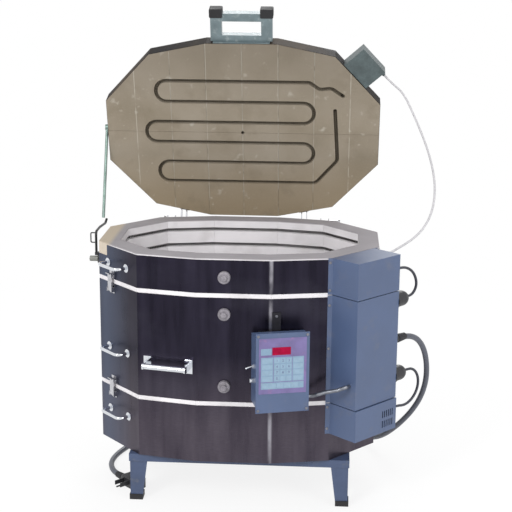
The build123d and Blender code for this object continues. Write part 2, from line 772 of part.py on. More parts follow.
# Controller: a box turned a little to the right, on a bracket at the front corner
turn_out = Vector(sin(radians(controller_turn)), -cos(radians(controller_turn)))
turn_along = Vector(cos(radians(controller_turn)), sin(radians(controller_turn)))
front_corner = corners[FRONT]
desk = Plane(origin=Vector(front_corner.X, front_corner.Y, controller_z), x_dir=turn_along, z_dir=turn_out)
panel_back = controller_face - controller_sheet
controller_top = controller_height
case_low, case_high = case_insets[0], controller_top - case_insets[1]
case_face = panel_back - 0.1
case = block((controller_left, controller_right), (case_low, case_high), (controller_back, case_face))
case += block((controller_left, controller_right), (0, controller_top), (case_face - controller_sheet, case_face))
case -= block((controller_left + controller_sheet, controller_right - controller_sheet),
              (case_low + controller_sheet, case_high - controller_sheet),
              (controller_back + controller_sheet, controller_face))
hose_start = (32.0, 45.0)
case -= bar((controller_right - 5, *hose_start), (controller_right + 5, *hose_start), hose_bore)
side_hole_radius = 4.0
for z in (toggle_z, fuse_z):
    up = z - controller_z
    case -= bar((controller_left - 5, up, fitting_out), (controller_left + 5, up, fitting_out), side_hole_radius)
add("controller_box", desk * case)
panel = block((controller_left, controller_right), (0, controller_top), (panel_back, controller_face))
add("controller_panel", desk * panel)
overlay_low = controller_top - overlay_top - overlay_height
overlay_span = (controller_left + overlay_margin, controller_right - overlay_margin)
overlay = block(overlay_span, (overlay_low, controller_top - overlay_top),
                (controller_face, controller_face + overlay_sheet))
display_low = controller_top - overlay_top - 52
display_left = -12.0
window = block((display_left, display_left + display_size[0]), (display_low, display_low + display_size[1]),
               (controller_face - 1, controller_face + 3))
overlay -= window
key_face = controller_face + overlay_sheet
key_start = (overlay_span[0] + 14, display_low - 24)
key_pitch = (40.0, 18.0)
for column in range(key_columns):
    for row in range(key_rows):
        key_x = key_start[0] + column * key_pitch[0]
        key_z = key_start[1] - row * key_pitch[1]
        overlay += block((key_x, key_x + 30), (key_z, key_z + key_size), (key_face - 0.4, key_face + 0.5))
add("controller_keypad", desk * overlay)
glass = block((display_left + part_fit, display_left + display_size[0] - part_fit),
              (display_low + part_fit, display_low + display_size[1] - part_fit),
              (controller_face, controller_face + 1.4))
add("controller_display", desk * glass)
board = block((controller_left + 12, controller_right - 12), (overlay_low, controller_top - 24), (60, 61.6))
for across_place in (controller_left + 20, controller_right - 20):
    for up_place in (overlay_low + 10, controller_top - 34):
        board += bar((across_place, up_place, 61), (across_place, up_place, panel_back - part_fit), 3)
board += block((0, 34), (overlay_low + 50, overlay_low + 84), (50, 60.5))
board += block((30, 62), (overlay_low + 14, overlay_low + 34), (61, 72))
add("controller_circuit_board", desk * board)

# Bracket of the controller: two hollow spacers that follow the body, the upper one with a tab
def on_body(across, low, high, sheet):
    """A sheet that follows the body's corner, between two places along the controller."""
    skin = shell(part_fit + sheet, part_fit, controller_z + low, controller_z + high)
    return skin & desk * block(across, (low, high), (-40, controller_back))


body_prism = prism(oval(part_fit), 0, rim_z)
spacer_span = (-36.0, 78.0)
spacer_height = 18.0
lower_spacer = 20.0
upper_spacer = controller_top - 36.0
hanger_tab = (4.0, 30.0)
hanger_tab_rise = 40.0


def spacer(low):
    back = controller_back - part_fit
    left, right = spacer_span
    solid = block(spacer_span, (low, low + spacer_height), (-40, back))
    hollow = block((left + bracket_sheet, right - bracket_sheet), (low - 1, low + spacer_height + 1),
                   (-41, back - bracket_sheet))
    skin = on_body(spacer_span, low, low + spacer_height, bracket_sheet)
    return desk * (solid - hollow) - body_prism + skin


tab = on_body(hanger_tab, upper_spacer, controller_top + hanger_tab_rise, bracket_sheet)
add("controller_bracket", spacer(lower_spacer), spacer(upper_spacer) + tab)

# Fittings on the controller's left side, and the lever of its switch
switch_nut = extrude(RegularPolygon(7.5, 6), amount=3)
fuse_cap = fillet(Cylinder(7.5, 12).edges().group_by(Axis.Z)[-1], 1.5)


def side_fitting_frame(z):
    """A frame on the controller's left wall, its z axis straight out to the left."""
    origin = to_world(desk, (controller_left - part_fit, z - controller_z, fitting_out))
    return Plane(origin=origin, x_dir=turn_out, z_dir=turn_along * -1)


switch_neck = 6.0
switch = switch_nut + stub(5.5, 0, switch_neck)
switch -= Pos(0, 0, switch_neck) * Box(5, 9, 9)
add("controller_side_fittings", side_fitting_frame(toggle_z) * switch)
add("controller_side_fittings", side_fitting_frame(fuse_z) * Pos(0, 0, 6) * fuse_cap)
toggle_pivot = 3.5
toggle_length = 19.0
lever = Cone(1.7, 2.8, toggle_length, align=(Align.CENTER, Align.CENTER, Align.MIN))
lever = Rot(toggle_rest, 0, 0) * (lever + Pos(0, 0, toggle_length) * Sphere(3.1))
add("toggle_lever", side_fitting_frame(toggle_z) * Pos(0, 0, toggle_pivot) * lever)
toggle_axis_place = to_world(side_fitting_frame(toggle_z), (0, 0, toggle_pivot))

# Ribbed steel hose between the controller and the boxes
hose_from = to_world(desk, (controller_right + part_fit, *hose_start))
hose_to = to_world(boxes, (box_left - part_fit, hose_end[1], hose_end[0]))
hose_points = [hose_from, hose_from + turn_along * hose_straights[0], *[Vector(*place) for place in hose_sag],
               hose_to - boxes.x_dir * hose_straights[1], hose_to]
hose_path = FilletPolyline(*[tuple(p) for p in hose_points], radius=hose_bend)
hose_length = hose_path.length
rib_count = int((hose_length - 4 * hose_radius) / hose_pitch)
first_rib = (hose_length - rib_count * hose_pitch) / 2


def hose_circle(along, radius):
    """One circle round the hose's line, its X axis kept steady."""
    share = along / hose_length
    way = hose_path % share
    steady = Vector(0, 0, 1).cross(way)
    return Plane(origin=hose_path @ share, x_dir=steady, z_dir=way) * Circle(radius)


rib_steps = ((0.0, hose_valley), (0.3, hose_radius), (0.7, hose_radius), (0.99, hose_valley))
outline = [hose_circle(0, hose_valley)]
inside = [hose_circle(0, hose_bore)]
for rib in range(rib_count):
    for share, radius in rib_steps:
        along = first_rib + (rib + share) * hose_pitch
        outline.append(hose_circle(along, radius))
        inside.append(hose_circle(along, hose_bore))
outline.append(hose_circle(hose_length, hose_valley))
inside.append(hose_circle(hose_length, hose_bore))
hose = loft(outline, ruled=True) - loft(inside, ruled=True)
add("controller_conduit", hose)


# Handles of the rings
def bail(side, z):
    """A bent bar on two round feet, level across one side."""
    frame = side_frame(side, z)
    half = bail_length / 2 - bail_flange / 2
    foot = bail_flange_depth + part_fit * 2
    bend = [(-half, 0, foot), (-half, 0, bail_height), (half, 0, bail_height), (half, 0, foot)]
    add("handle_grips", frame * bent_bar(bend, bail_bend, bail_bar / 2))
    for place in (-half, half):
        flange = stub(bail_flange / 2, part_fit, part_fit + bail_flange_depth)
        add("handle_brackets", frame * Pos(place, 0, 0) * flange)


def grip(side, place):
    """A straight tube between two end brackets."""
    frame = side_frame(side, grip_z)
    width, height, sheet = grip_plate
    half = grip_length / 2 - width / 2
    for end in (-1, 1):
        middle = place + end * half
        post = block((middle - 3, middle + 3), (-grip_diameter * 0.55, grip_diameter * 0.55),
                     (part_fit + sheet - 1, grip_standoff + grip_diameter * 0.55))
        post = fillet(post.edges().filter_by(Axis.X).group_by(Axis.Z)[-1], 8)
        plate = block((middle - width / 2, middle + width / 2), (-height / 2, height / 2),
                      (part_fit, part_fit + sheet))
        add("handle_brackets", frame * (plate + post))
    inside_half = half - 3 - part_fit
    tube = bar((place - inside_half, 0, grip_standoff), (place + inside_half, 0, grip_standoff), grip_diameter / 2)
    tube -= bar((place - half, 0, grip_standoff), (place + half, 0, grip_standoff), grip_diameter / 2 - 2)
    add("handle_grips", frame * tube)


grip_place = 6.0
for side in (STEEP_LEFT, BACK_STEEP_RIGHT):
    for height in bail_heights:
        bail(side, height)
grip(FRONT_LEFT, grip_place)
grip(BACK_RIGHT, -grip_place)


# Draw latches that hold one ring on the next
latch_pivot_up = -26.0
latch_pivot_out = 8.0
latch_frames = {
    "upper": side_frame(STEEP_LEFT, top_z),
    "lower": side_frame(STEEP_LEFT, middle_z),
}


def latch(name, frame):
    half = latch_width / 2
    sheet = 2.0
    pin = latch_pin / 2
    base = block((latch_place - half, latch_place + half), (latch_pivot_up - 12, -seam_reveal / 2 - 1),
                 (part_fit, part_fit + sheet))
    for across in (-half, half - sheet):
        ear = block((latch_place + across, latch_place + across + sheet),
                    (latch_pivot_up - 7, latch_pivot_up + 7), (part_fit, latch_pivot_out + 5))
        base += ear
    base += bar((latch_place - half, latch_pivot_up, latch_pivot_out),
                (latch_place + half, latch_pivot_up, latch_pivot_out), pin)
    catch = block((latch_place - half, latch_place + half), (seam_reveal / 2 + 2, seam_reveal / 2 + 26),
                  (part_fit, part_fit + sheet))
    catch += block((latch_place - half + 5, latch_place + half - 5),
                   (seam_reveal / 2 + 9, seam_reveal / 2 + 12), (part_fit, latch_pivot_out - 1))
    add("latch_plates", frame * base, frame * catch)
    inner = half - sheet - latch_gap
    low = latch_pivot_up - 4
    lever = block((latch_place - inner, latch_place + inner), (low, low + latch_lever_length),
                  (latch_pivot_out + 0.4, latch_pivot_out + 0.4 + latch_lever_sheet))
    hub = bar((latch_place - inner, latch_pivot_up, latch_pivot_out),
              (latch_place + inner, latch_pivot_up, latch_pivot_out), pin + 2.2)
    tip = low + latch_lever_length
    lip = block((latch_place - inner, latch_place + inner), (tip - latch_lever_sheet, tip),
                (latch_pivot_out + 0.4, latch_pivot_out + 11))
    bore = bar((latch_place - half, latch_pivot_up, latch_pivot_out),
               (latch_place + half, latch_pivot_up, latch_pivot_out), pin + 0.08)
    add(name + "_latch_lever", frame * (lever + hub + lip - bore))


for name, frame in latch_frames.items():
    latch(name, frame)

# Screws of the boxes, the controller and its hanger
flange_screw_rises = {
    "top": (633.0, 548.0),
    "middle": (501.0, 365.0, 223.0),
    "bottom": (177.0, 107.0),
}
screw_head = 4.2
screw_head_depth = 2.4
screw_shank = 1.9


def screw(frame, x, y, out, grip_depth):
    """A domed screw whose head lies on a surface of a frame."""
    head = fillet(stub(screw_head, 0, screw_head_depth).edges().group_by(Axis.Z)[-1], 1.2)
    shank = stub(screw_shank, -grip_depth, 0.5)
    add("screws_and_bolts", frame * Pos(x, y, out + 0.05) * (head + shank))
    return frame * Pos(x, y, out) * stub(screw_shank + 0.1, -grip_depth - 0.5, 1)


def screw_all(name, places, grip_depth):
    """Puts screws in at places on frames, and their holes in the pieces of one node."""
    for frame, x, y, out in places:
        hole = screw(frame, x, y, out, grip_depth)
        nodes[name] = [piece - hole for piece in nodes[name]]


flange_face = part_fit + box_sheet
flange_line = side_length(FRONT_RIGHT) / 2 - box_flange / 2 - 1
flange_frame = side_frame(FRONT_RIGHT)
screw_depth = 1.0
for name, heights in flange_screw_rises.items():
    flange_places = [(flange_frame, flange_line, stand_height + rise, flange_face) for rise in heights]
    screw_all(name + "_box_cover", flange_places, screw_depth)
desk_corners = [(controller_left + 7, controller_top - 8), (controller_right - 7, controller_top - 8),
                (controller_left + 7, 8), (controller_right - 7, 8)]
panel_places = [(desk, x, y, controller_face) for x, y in desk_corners]
screw_all("controller_panel", panel_places, controller_sheet - 0.2)
hanger_frame = side_frame(FRONT_RIGHT, controller_z)
screw_all("controller_bracket",
          [(hanger_frame, -shallow_side / 2 + 17, controller_top + 28, part_fit + bracket_sheet)],
          bracket_sheet - 0.1)

# Hinge at the back: brackets on the body, one rod, and brackets on the lid
hinge_y = half_width + hinge_setback
hinge_axis = Axis((0, hinge_y, hinge_z), (1, 0, 0))
rod_radius = hinge_rod_diameter / 2
ear_radius = rod_radius + 5.0


def back_side(place):
    """The back side that a bracket to the left or right of the middle is fixed to."""
    return BACK_RIGHT if place > 0 else BACK_LEFT


def ears(place, width, outline, sheet):
    """Two upright ears at the sides of a bracket, from an outline in y and z."""
    pieces = []
    for start in (place - width / 2, place + width / 2 - sheet):
        face = Plane(origin=(start, 0, 0), x_dir=(0, 1, 0), z_dir=(1, 0, 0))
        pieces.append(face * profile(outline, sheet))
    return pieces


def hinge_bore(fit):
    return bar((-400, hinge_y, hinge_z), (400, hinge_y, hinge_z), rod_radius + fit)


def body_bracket(place):
    side = back_side(place)
    frame = side_frame(side)
    across = frame.to_local_coords(Vector(place, hinge_y - 30, 0)).X
    base = frame * block((across - body_bracket_width / 2 - 8, across + body_bracket_width / 2 + 8),
                         (hinge_z - 92, rim_z - rim_reveal - 4), (part_fit, part_fit + bracket_sheet))
    outline = [(half_width - 60, hinge_z - 86), (hinge_y + ear_radius, hinge_z - 22),
               (hinge_y + ear_radius, hinge_z + ear_radius - 3), (hinge_y + ear_radius - 3, hinge_z + ear_radius),
               (hinge_y - ear_radius + 3, hinge_z + ear_radius), (hinge_y - ear_radius, hinge_z + ear_radius - 3),
               (hinge_y - ear_radius, hinge_z - 10), (half_width - 60, hinge_z - 14)]
    left, right = ears(place, body_bracket_width, outline, bracket_sheet)
    return base + (left + right - body_prism) - hinge_bore(hinge_fit)


for place in (-body_bracket_place, body_bracket_place):
    add("hinge_brackets", body_bracket(place))
collar = rod_radius + 4
rod = bar((hinge_rod_span[0], hinge_y, hinge_z), (hinge_rod_span[1], hinge_y, hinge_z), rod_radius)
for place in hinge_rod_span:
    rod += bar((place - 3, hinge_y, hinge_z), (place + 3, hinge_y, hinge_z), collar)
add("hinge_rod", rod)

# Lid: a brick slab in a steel band, made closed and then turned open about the hinge
lid_low = rim_z + lid_gap
lid_high = lid_low + lid_thickness
slab_face = lid_overhang - band_sheet - part_fit


def add_lid(name, *shapes):
    """Keeps pieces that were made for the closed lid, turned to the open pose."""
    add(name, *[Pos(lid_shift, 0, 0) * shape.rotate(hinge_axis, -lid_open) for shape in shapes])


def lid_frame(side, z=0.0):
    """The frame on one side of the lid's band."""
    frame = side_frame(side, z)
    return Plane(origin=frame.origin + frame.z_dir * lid_overhang, x_dir=frame.x_dir, z_dir=frame.z_dir)


row = lid_row_pitch
row_ends = {"left_short": -284.0, "left_long": -321.0, "right": 236.0}
lid_start = (330.0, -136.0)
lid_end = (305.0, -84.0)
lid_turns = [
    (292, -162), (253, -158), (221, -2.5 * row),
    (row_ends["left_short"], -2.5 * row), (row_ends["left_short"], -1.5 * row),
    (row_ends["right"], -1.5 * row), (row_ends["right"], -0.5 * row),
    (row_ends["left_long"], -0.5 * row), (row_ends["left_long"], 0.5 * row),
    (row_ends["right"], 0.5 * row), (row_ends["right"], 1.5 * row),
    (row_ends["left_short"], 1.5 * row), (row_ends["left_short"], 2.5 * row),
    (244, 2.5 * row), (316, 96), (310, -6),
]
loop = row / 2 - 1
lid_bends = [lid_groove_corner] * 3 + [loop] * 10 + [lid_groove_corner] * 3
lid_groove_axis = lid_low + groove_depth - groove_radius
lid_coil_axis = lid_low + groove_depth - coil_seat - coil_radius
tail_level = lid_low + 36.0
box_face = lid_frame(STEEP_RIGHT)


def tail_hit(place):
    """Where a tail from a place on the lid comes out at the junction box."""
    local = box_face.to_local_coords(Vector(*place, tail_level))
    return to_world(box_face, (local.X, tail_level, 16.0)), local


def lid_groove():
    """The groove of the lid's element: a round bottom and an open slot, along one line."""
    flat = [(*lid_start, 0), *[(*p, 0) for p in lid_turns], (*lid_end, 0)]
    line = Pos(0, 0, lid_groove_axis) * FilletPolyline(*flat, radius=lid_bends)
    start = line @ 0
    section = Plane(origin=start, x_dir=Vector(0, 0, 1), z_dir=line % 0)
    shape = Circle(groove_radius) + Pos(-groove_depth / 2, 0) * Rectangle(groove_depth, groove_diameter)
    cut = sweep(section * shape, path=line)
    for end in (lid_start, lid_end):
        cut += Pos(*end, lid_low - 1) * Cylinder(groove_radius, groove_depth + 1 - groove_radius,
                                                align=(Align.CENTER, Align.CENTER, Align.MIN))
        cut += Pos(*end, lid_groove_axis) * Sphere(groove_radius)
    return cut


def lid_element():
    flat = [(*p, lid_coil_axis) for p in (lid_start, *lid_turns, lid_end)]
    start_hit, _ = tail_hit(lid_start)
    end_hit, _ = tail_hit(lid_end)
    points = [tuple(start_hit), (*lid_start, tail_level), *flat, (*lid_end, tail_level), tuple(end_hit)]
    bends = [tail_bend, tail_bend, *lid_bends, tail_bend, tail_bend]
    return bent_bar(points, bends, coil_radius)


def lid_tail_holes():
    cuts = []
    for place in (lid_start, lid_end):
        hit, _ = tail_hit(place)
        cuts.append(bar((*place, lid_groove_axis), (*place, tail_level), coil_radius + tail_hole_gap))
        cuts.append(Pos(*place, tail_level) * Sphere(coil_radius + tail_corner_relief))
        mouth_top = lid_groove_axis + groove_radius + tail_mouth[1]
        cuts.append(bar((*place, lid_groove_axis), (*place, mouth_top), coil_radius + tail_mouth[0]))
        cuts.append(bar((*place, tail_level), tuple(hit), coil_radius + tail_hole_gap))
    return cuts


slab = prism(oval(slab_face), lid_low, lid_high)
slab -= lid_groove()
slab -= Pos(0, 0, lid_low - 1) * Cylinder(vent_hole / 2, lid_thickness + 2,
                                         align=(Align.CENTER, Align.CENTER, Align.MIN))
band = shell(lid_overhang, lid_overhang - band_sheet, lid_low + 1, lid_high)
for hole in lid_tail_holes():
    slab -= hole
    band -= hole
cut_width, cut_depth = seam_cut
for place in lid_seams:
    slab -= block((place - cut_width / 2, place + cut_width / 2), (-half_length, half_length),
                  (lid_low - 1, lid_low + cut_depth))
slab -= block((-half_length * 2, half_length * 2), (-cut_width / 2, cut_width / 2),
              (lid_low - 1, lid_low + cut_depth))
add_lid("lid_slab", slab)
add_lid("lid_band", band)
add_lid("lid_element", lid_element())


def lid_bracket(place):
    side = back_side(place)
    frame = lid_frame(side)
    across = frame.to_local_coords(Vector(place, hinge_y - 20, 0)).X
    base = frame * block((across - lid_bracket_width / 2 - 6, across + lid_bracket_width / 2 + 6),
                         (lid_low + 4, lid_high - 3), (part_fit, part_fit + bracket_sheet))
    outline = [(half_width - 20, lid_low + 6), (hinge_y - ear_radius, hinge_z - ear_radius + 3),
               (hinge_y - ear_radius + 3, hinge_z - ear_radius), (hinge_y + ear_radius - 3, hinge_z - ear_radius),
               (hinge_y + ear_radius, hinge_z - ear_radius + 3), (hinge_y + ear_radius, hinge_z + ear_radius),
               (half_width - 20, lid_high - 6)]
    left, right = ears(place, lid_bracket_width, outline, bracket_sheet)
    lid_block = prism(oval(lid_overhang + part_fit), lid_low - 60, lid_high + 60)
    return base + (left + right - lid_block) - hinge_bore(hinge_fit)


for place in (-lid_bracket_place, lid_bracket_place):
    add_lid("lid_brackets", lid_bracket(place))

# Prop bracket of the lid, a small plate and pin on its left end
prop_level = lid_low + prop_height
left_band = lid_frame(LEFT)
pin_out = -(prop_x - lid_shift - prop_rod_diameter / 2 - pin_overrun) - half_length - lid_overhang
prop_plate = block((-16, 16), (lid_low + 8, lid_high - 8), (part_fit, part_fit + 1.2))
prop_plate += bar((0, prop_level, part_fit), (0, prop_level, pin_out), prop_pin / 2)
add_lid("lid_brackets", left_band * prop_plate)

# Handle of the lid: two arms and two bars of folded sheet, with rubber caps on the arms
handle_middle = lid_low + lid_thickness / 2
handle_start = -(half_width + lid_overhang + part_fit)
arm_low = handle_start - handle_reach
half = handle_width / 2
deep = (handle_middle - handle_depth / 2, handle_middle + handle_depth / 2)


def channel(across, along):
    """A folded sheet channel, open to the back."""
    solid = block(across, along, deep)
    inside = block((across[0] + handle_sheet, across[1] - handle_sheet),
                   (along[0] + handle_sheet, along[1] - handle_sheet), (deep[0] + handle_sheet, deep[1] + 1))
    return solid - inside


inner = half - handle_arm
foot_plate = block((-half + 8, half - 8), (handle_start - handle_sheet, handle_start),
                   (lid_low + 2, lid_high - 2))
add_lid("lid_handle", channel((-half, -inner), (arm_low, handle_start - handle_sheet)),
        channel((inner, half), (arm_low, handle_start - handle_sheet)),
        channel((-inner, inner), (arm_low, arm_low + handle_bar)),
        channel((-inner, inner), (handle_start - handle_sheet - handle_foot, handle_start - handle_sheet)),
        foot_plate)
for low, high in ((-half, -inner), (inner, half)):
    outside = block((low - cap_wall, high + cap_wall), (arm_low - cap_reach, arm_low + cap_overlap),
                    (deep[0] - cap_wall, deep[1] + cap_wall))
    outside = fillet(outside.edges().filter_by(Axis.Z), 4)
    socket = block((low - part_fit, high + part_fit), (arm_low - part_fit, arm_low + cap_overlap + 1),
                   (deep[0] - part_fit, deep[1] + part_fit))
    bar_gap = block((-inner - 1, inner + 1), (arm_low - part_fit, arm_low + cap_overlap + 1),
                    (deep[0] - part_fit, deep[1] + part_fit))
    add_lid("lid_handle_caps", outside - socket - bar_gap)

# Junction box of the lid's element, on the right front of the band
junction_low = lid_high - 3 - junction_height
junction_span = (junction_low, junction_low + junction_height)
junction_out = (part_fit, junction_depth)
junction = block((junction_left, junction_right), junction_span, junction_out)
junction -= block((junction_left + junction_sheet, junction_right - junction_sheet),
                  (junction_span[0] + junction_sheet, junction_span[1] - junction_sheet),
                  (-1, junction_depth - junction_sheet))
lid_gland_place = (junction_right, junction_low + junction_height / 2, junction_depth - 14)
gland_frame = Plane(origin=to_world(box_face, lid_gland_place), x_dir=(0, 0, 1), z_dir=box_face.x_dir)
gland = gland_frame * stub(lead_diameter * 0.8, -1, gland_length - 2)
add_lid("lid_junction_box", box_face * junction + gland)
terminal_span = sorted(tail_hit(place)[1].X for place in (lid_start, lid_end))
ceramic = block((terminal_span[0] - 10, terminal_span[1] + 10), (tail_level - 9, tail_level + 9), (3.0, 19.0))
for place in terminal_span:
    ceramic -= bar((place, tail_level, 0), (place, tail_level, 16 + part_fit), coil_radius + part_fit)
for place in terminal_span:
    ceramic -= bar((place, tail_level, 16), (place, tail_level, 20), 2.5)
add_lid("lid_junction_box", box_face * ceramic)
gland_end = to_world(gland_frame, (0, 0, gland_length - 2))


def opened(place):
    """Where a point of the closed lid lies when the lid is open."""
    out = place - Vector(0, hinge_y, hinge_z)
    swing = radians(lid_open)
    return Vector(place.X + lid_shift, hinge_y + out.Y * cos(swing) + out.Z * sin(swing),
                  hinge_z - out.Y * sin(swing) + out.Z * cos(swing))


# Lead from the junction box down to the top electrical box
lead_start = opened(gland_end)
lead_way = (opened(gland_end + box_face.x_dir) - opened(gland_end)).normalized()
lead_end = to_world(boxes, (box_right + part_fit + gland_length, lead_entry[1], lead_entry[0]))
lead_route = [
    tuple(lead_start), tuple(lead_start + lead_way * 36), (510, 196, 1244), (538, 170, 1190), (564, 138, 1135),
    (586, 104, 1082), (602, 66, 1030), (610, 24, 980), (607, -18, 932), (593, -56, 889), (568, -84, 853),
    (536, -101, 826), (502, -108, 805), tuple(lead_end + boxes.x_dir * 22), tuple(lead_end),
]
free_cord("lid_lead", lead_route, lead_diameter)

# Prop: a rod that hangs from the lid's pin down to a bracket on the body's left end
prop_top = opened(Vector(prop_x - lid_shift, 0, prop_level))
prop_end = Vector(prop_x, *prop_foot)
half_eye = Vector(prop_eye_width / 2, 0, 0)
eye = bar(tuple(prop_top - half_eye), tuple(prop_top + half_eye), prop_eye / 2)
shaft = bar(tuple(prop_top), tuple(prop_end), prop_rod_diameter / 2)
eye_bore = bar(tuple(prop_top - half_eye * 2), tuple(prop_top + half_eye * 2), prop_pin / 2 + hinge_fit)
add("prop_rod", eye + shaft - eye_bore)
wire = prop_wire / 2
bracket_x = -(half_length + lid_overhang) + lid_shift - wire - wire_gap
hook_y, hook_z = prop_foot
arm_z = rim_z - 2.0
plate_face = -(half_length + part_fit)
arm = bent_bar([(bracket_x + 8, hook_y + 8, hook_z - 6), (bracket_x + 6, hook_y - 7, hook_z - 17),
                (bracket_x, 96, arm_z), (bracket_x, prop_place, arm_z), (bracket_x, prop_place, prop_knob_z + 18)],
               [6, 30, 14], wire)
bracket_foot = block((bracket_x - wire, plate_face), (prop_place - 6, prop_place + 6),
                     (prop_knob_z + 12, prop_knob_z + 22))
bracket_plate = block((plate_face - bracket_sheet, plate_face), (prop_place - 12, prop_place + 12),
                      (prop_knob_z - 16, prop_knob_z + 22))
knob_seat = bracket_x + wire + 1.2
bracket_plate += block((knob_seat, knob_seat + bracket_sheet), (prop_place - 9, prop_place + 9),
                       (prop_knob_z - 12, prop_knob_z + 22))
bracket_plate -= bar((knob_seat - 1, prop_place, prop_knob_z), (plate_face + 1, prop_place, prop_knob_z),
                     knob_stud / 2 + knob_fit)
loop_low, loop_high = rim_z - 38.0, rim_z - 6.0
loop_reach = 17.0
wire_loop = bent_bar([(bracket_x, prop_place, loop_high), (bracket_x - loop_reach, prop_place, loop_high),
                      (bracket_x - loop_reach, prop_place, loop_low), (bracket_x, prop_place, loop_low)], 4, 2)
add("prop_bracket", arm + bracket_foot + bracket_plate + wire_loop)
knob_face = knob_seat - 0.3
knob_body = bar((knob_face - knob_length, prop_place, prop_knob_z), (knob_face, prop_place, prop_knob_z),
                knob_diameter / 2)
knob_body = fillet(knob_body.edges().group_by(Axis.X)[0], 3)
knob_screw = bar((knob_face - 5, prop_place, prop_knob_z),
                 (-(half_length - knob_stud_length + 4), prop_place, prop_knob_z), knob_stud / 2)
add("prop_knob", knob_body + knob_screw)

# The whole object, stood on the floor with the middle of its box at the origin
cord_nodes = ["jumper_cord_upper", "jumper_cord_lower", "jumper_plugs", "power_cord", "power_plug", "lid_lead"]
held = Compound([solid for name, solids in nodes.items() if name not in cord_nodes for solid in solids])
box = held.bounding_box()
middle = Vector((box.min.X + box.max.X) / 2, (box.min.Y + box.max.Y) / 2, box.min.Z)
home = Pos(-middle.X, -middle.Y, -middle.Z)
for name, solids in nodes.items():
    export_step(home * Compound(solids), "parts/" + name + ".step")
print("nodes", len(nodes), "size", [round(v, 2) for v in box.size], "shift", [round(-v, 3) for v in middle])
places = {
    "lid_hinge": Vector(0, hinge_y, hinge_z),
    "prop_hinge": prop_top,
    "knob": Vector(plate_face, prop_place, prop_knob_z),
    "toggle": toggle_axis_place,
    "upper_latch": to_world(latch_frames["upper"], (latch_place, latch_pivot_up, latch_pivot_out)),
    "lower_latch": to_world(latch_frames["lower"], (latch_place, latch_pivot_up, latch_pivot_out)),
}
for name, place in places.items():
    print(name, [round(v, 3) for v in tuple(place - middle)])
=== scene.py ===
"""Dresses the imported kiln: camera, cords, wound elements, printed controller face, materials, light."""
from math import acos, cos, pi, radians, sin, tan

import bmesh
import bpy
from mathutils import Matrix, Vector


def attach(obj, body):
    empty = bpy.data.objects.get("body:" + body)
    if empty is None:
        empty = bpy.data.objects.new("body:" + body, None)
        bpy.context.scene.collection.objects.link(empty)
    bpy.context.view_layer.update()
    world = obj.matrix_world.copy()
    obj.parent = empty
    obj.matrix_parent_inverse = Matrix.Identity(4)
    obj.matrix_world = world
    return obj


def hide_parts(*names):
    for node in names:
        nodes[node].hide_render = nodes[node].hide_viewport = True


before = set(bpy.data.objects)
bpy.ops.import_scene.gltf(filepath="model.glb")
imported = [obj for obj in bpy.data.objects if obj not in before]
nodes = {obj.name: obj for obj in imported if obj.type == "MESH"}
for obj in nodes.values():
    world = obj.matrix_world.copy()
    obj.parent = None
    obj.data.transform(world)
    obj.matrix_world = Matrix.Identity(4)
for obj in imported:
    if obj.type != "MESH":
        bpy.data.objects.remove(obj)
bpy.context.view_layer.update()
scene = bpy.context.scene

# Places are written in millimetres from the kiln's own centre line; this is where that line lies
MM = 0.001
HOME = Vector((-6.696, 1.347, 0.0))


def at(x, y, z):
    return (Vector((x, y, z)) + HOME) * MM


def add_object(name, data):
    piece = bpy.data.objects.new(name, data)
    scene.collection.objects.link(piece)
    return piece


# Camera at the photograph's place
FRAME_PIXELS = 512
focal_pixels = 1258.3
yaw, pitch, roll = radians(-3.64), radians(-13.97), radians(0.44)
camera_place = at(297.35, -3898.96, 1710.5)
forward = Vector((sin(yaw) * cos(pitch), cos(yaw) * cos(pitch), sin(pitch)))
level = Vector((cos(yaw), -sin(yaw), 0))
upward = level.cross(forward)
camera_x = level * cos(roll) + upward * sin(roll)
camera_y = upward * cos(roll) - level * sin(roll)
camera_turn = Matrix((camera_x, camera_y, -forward)).transposed().to_4x4()
camera = add_object("camera", bpy.data.cameras.new("camera"))
camera.data.sensor_width = 36.0
camera.data.lens = focal_pixels / FRAME_PIXELS * camera.data.sensor_width
camera.data.clip_end = 200
camera.matrix_world = Matrix.Translation(camera_place) @ camera_turn
scene.camera = camera


# Sizes that the solids were built with, in millimetres
front_side, shallow_side, steep_side, end_side = 228.0, 185.0, 212.0, 205.0
shallow_turn, steep_turn = radians(12.0), radians(47.5)
stand_height = 155.0
bottom_z, brick_course, courses = 231.0, 114.3, 5
rim_z = bottom_z + courses * brick_course
lid_gap, lid_overhang, lid_shift = 0.6, 14.0, -14.0
lid_open = radians(74.0)
hinge_setback, hinge_drop = 23.0, 18.5
part_fit = 0.2
box_right, cord_line = 82.0, 80.0
controller_turn, controller_z, controller_face = radians(15.0), stand_height + 198.0, 82.0

# Where the finishes change, in metres as the materials measure it
rim_height = rim_z * MM
lid_seam_pitch = 0.118


# Materials
COAT_ROUGHNESS = 0.15


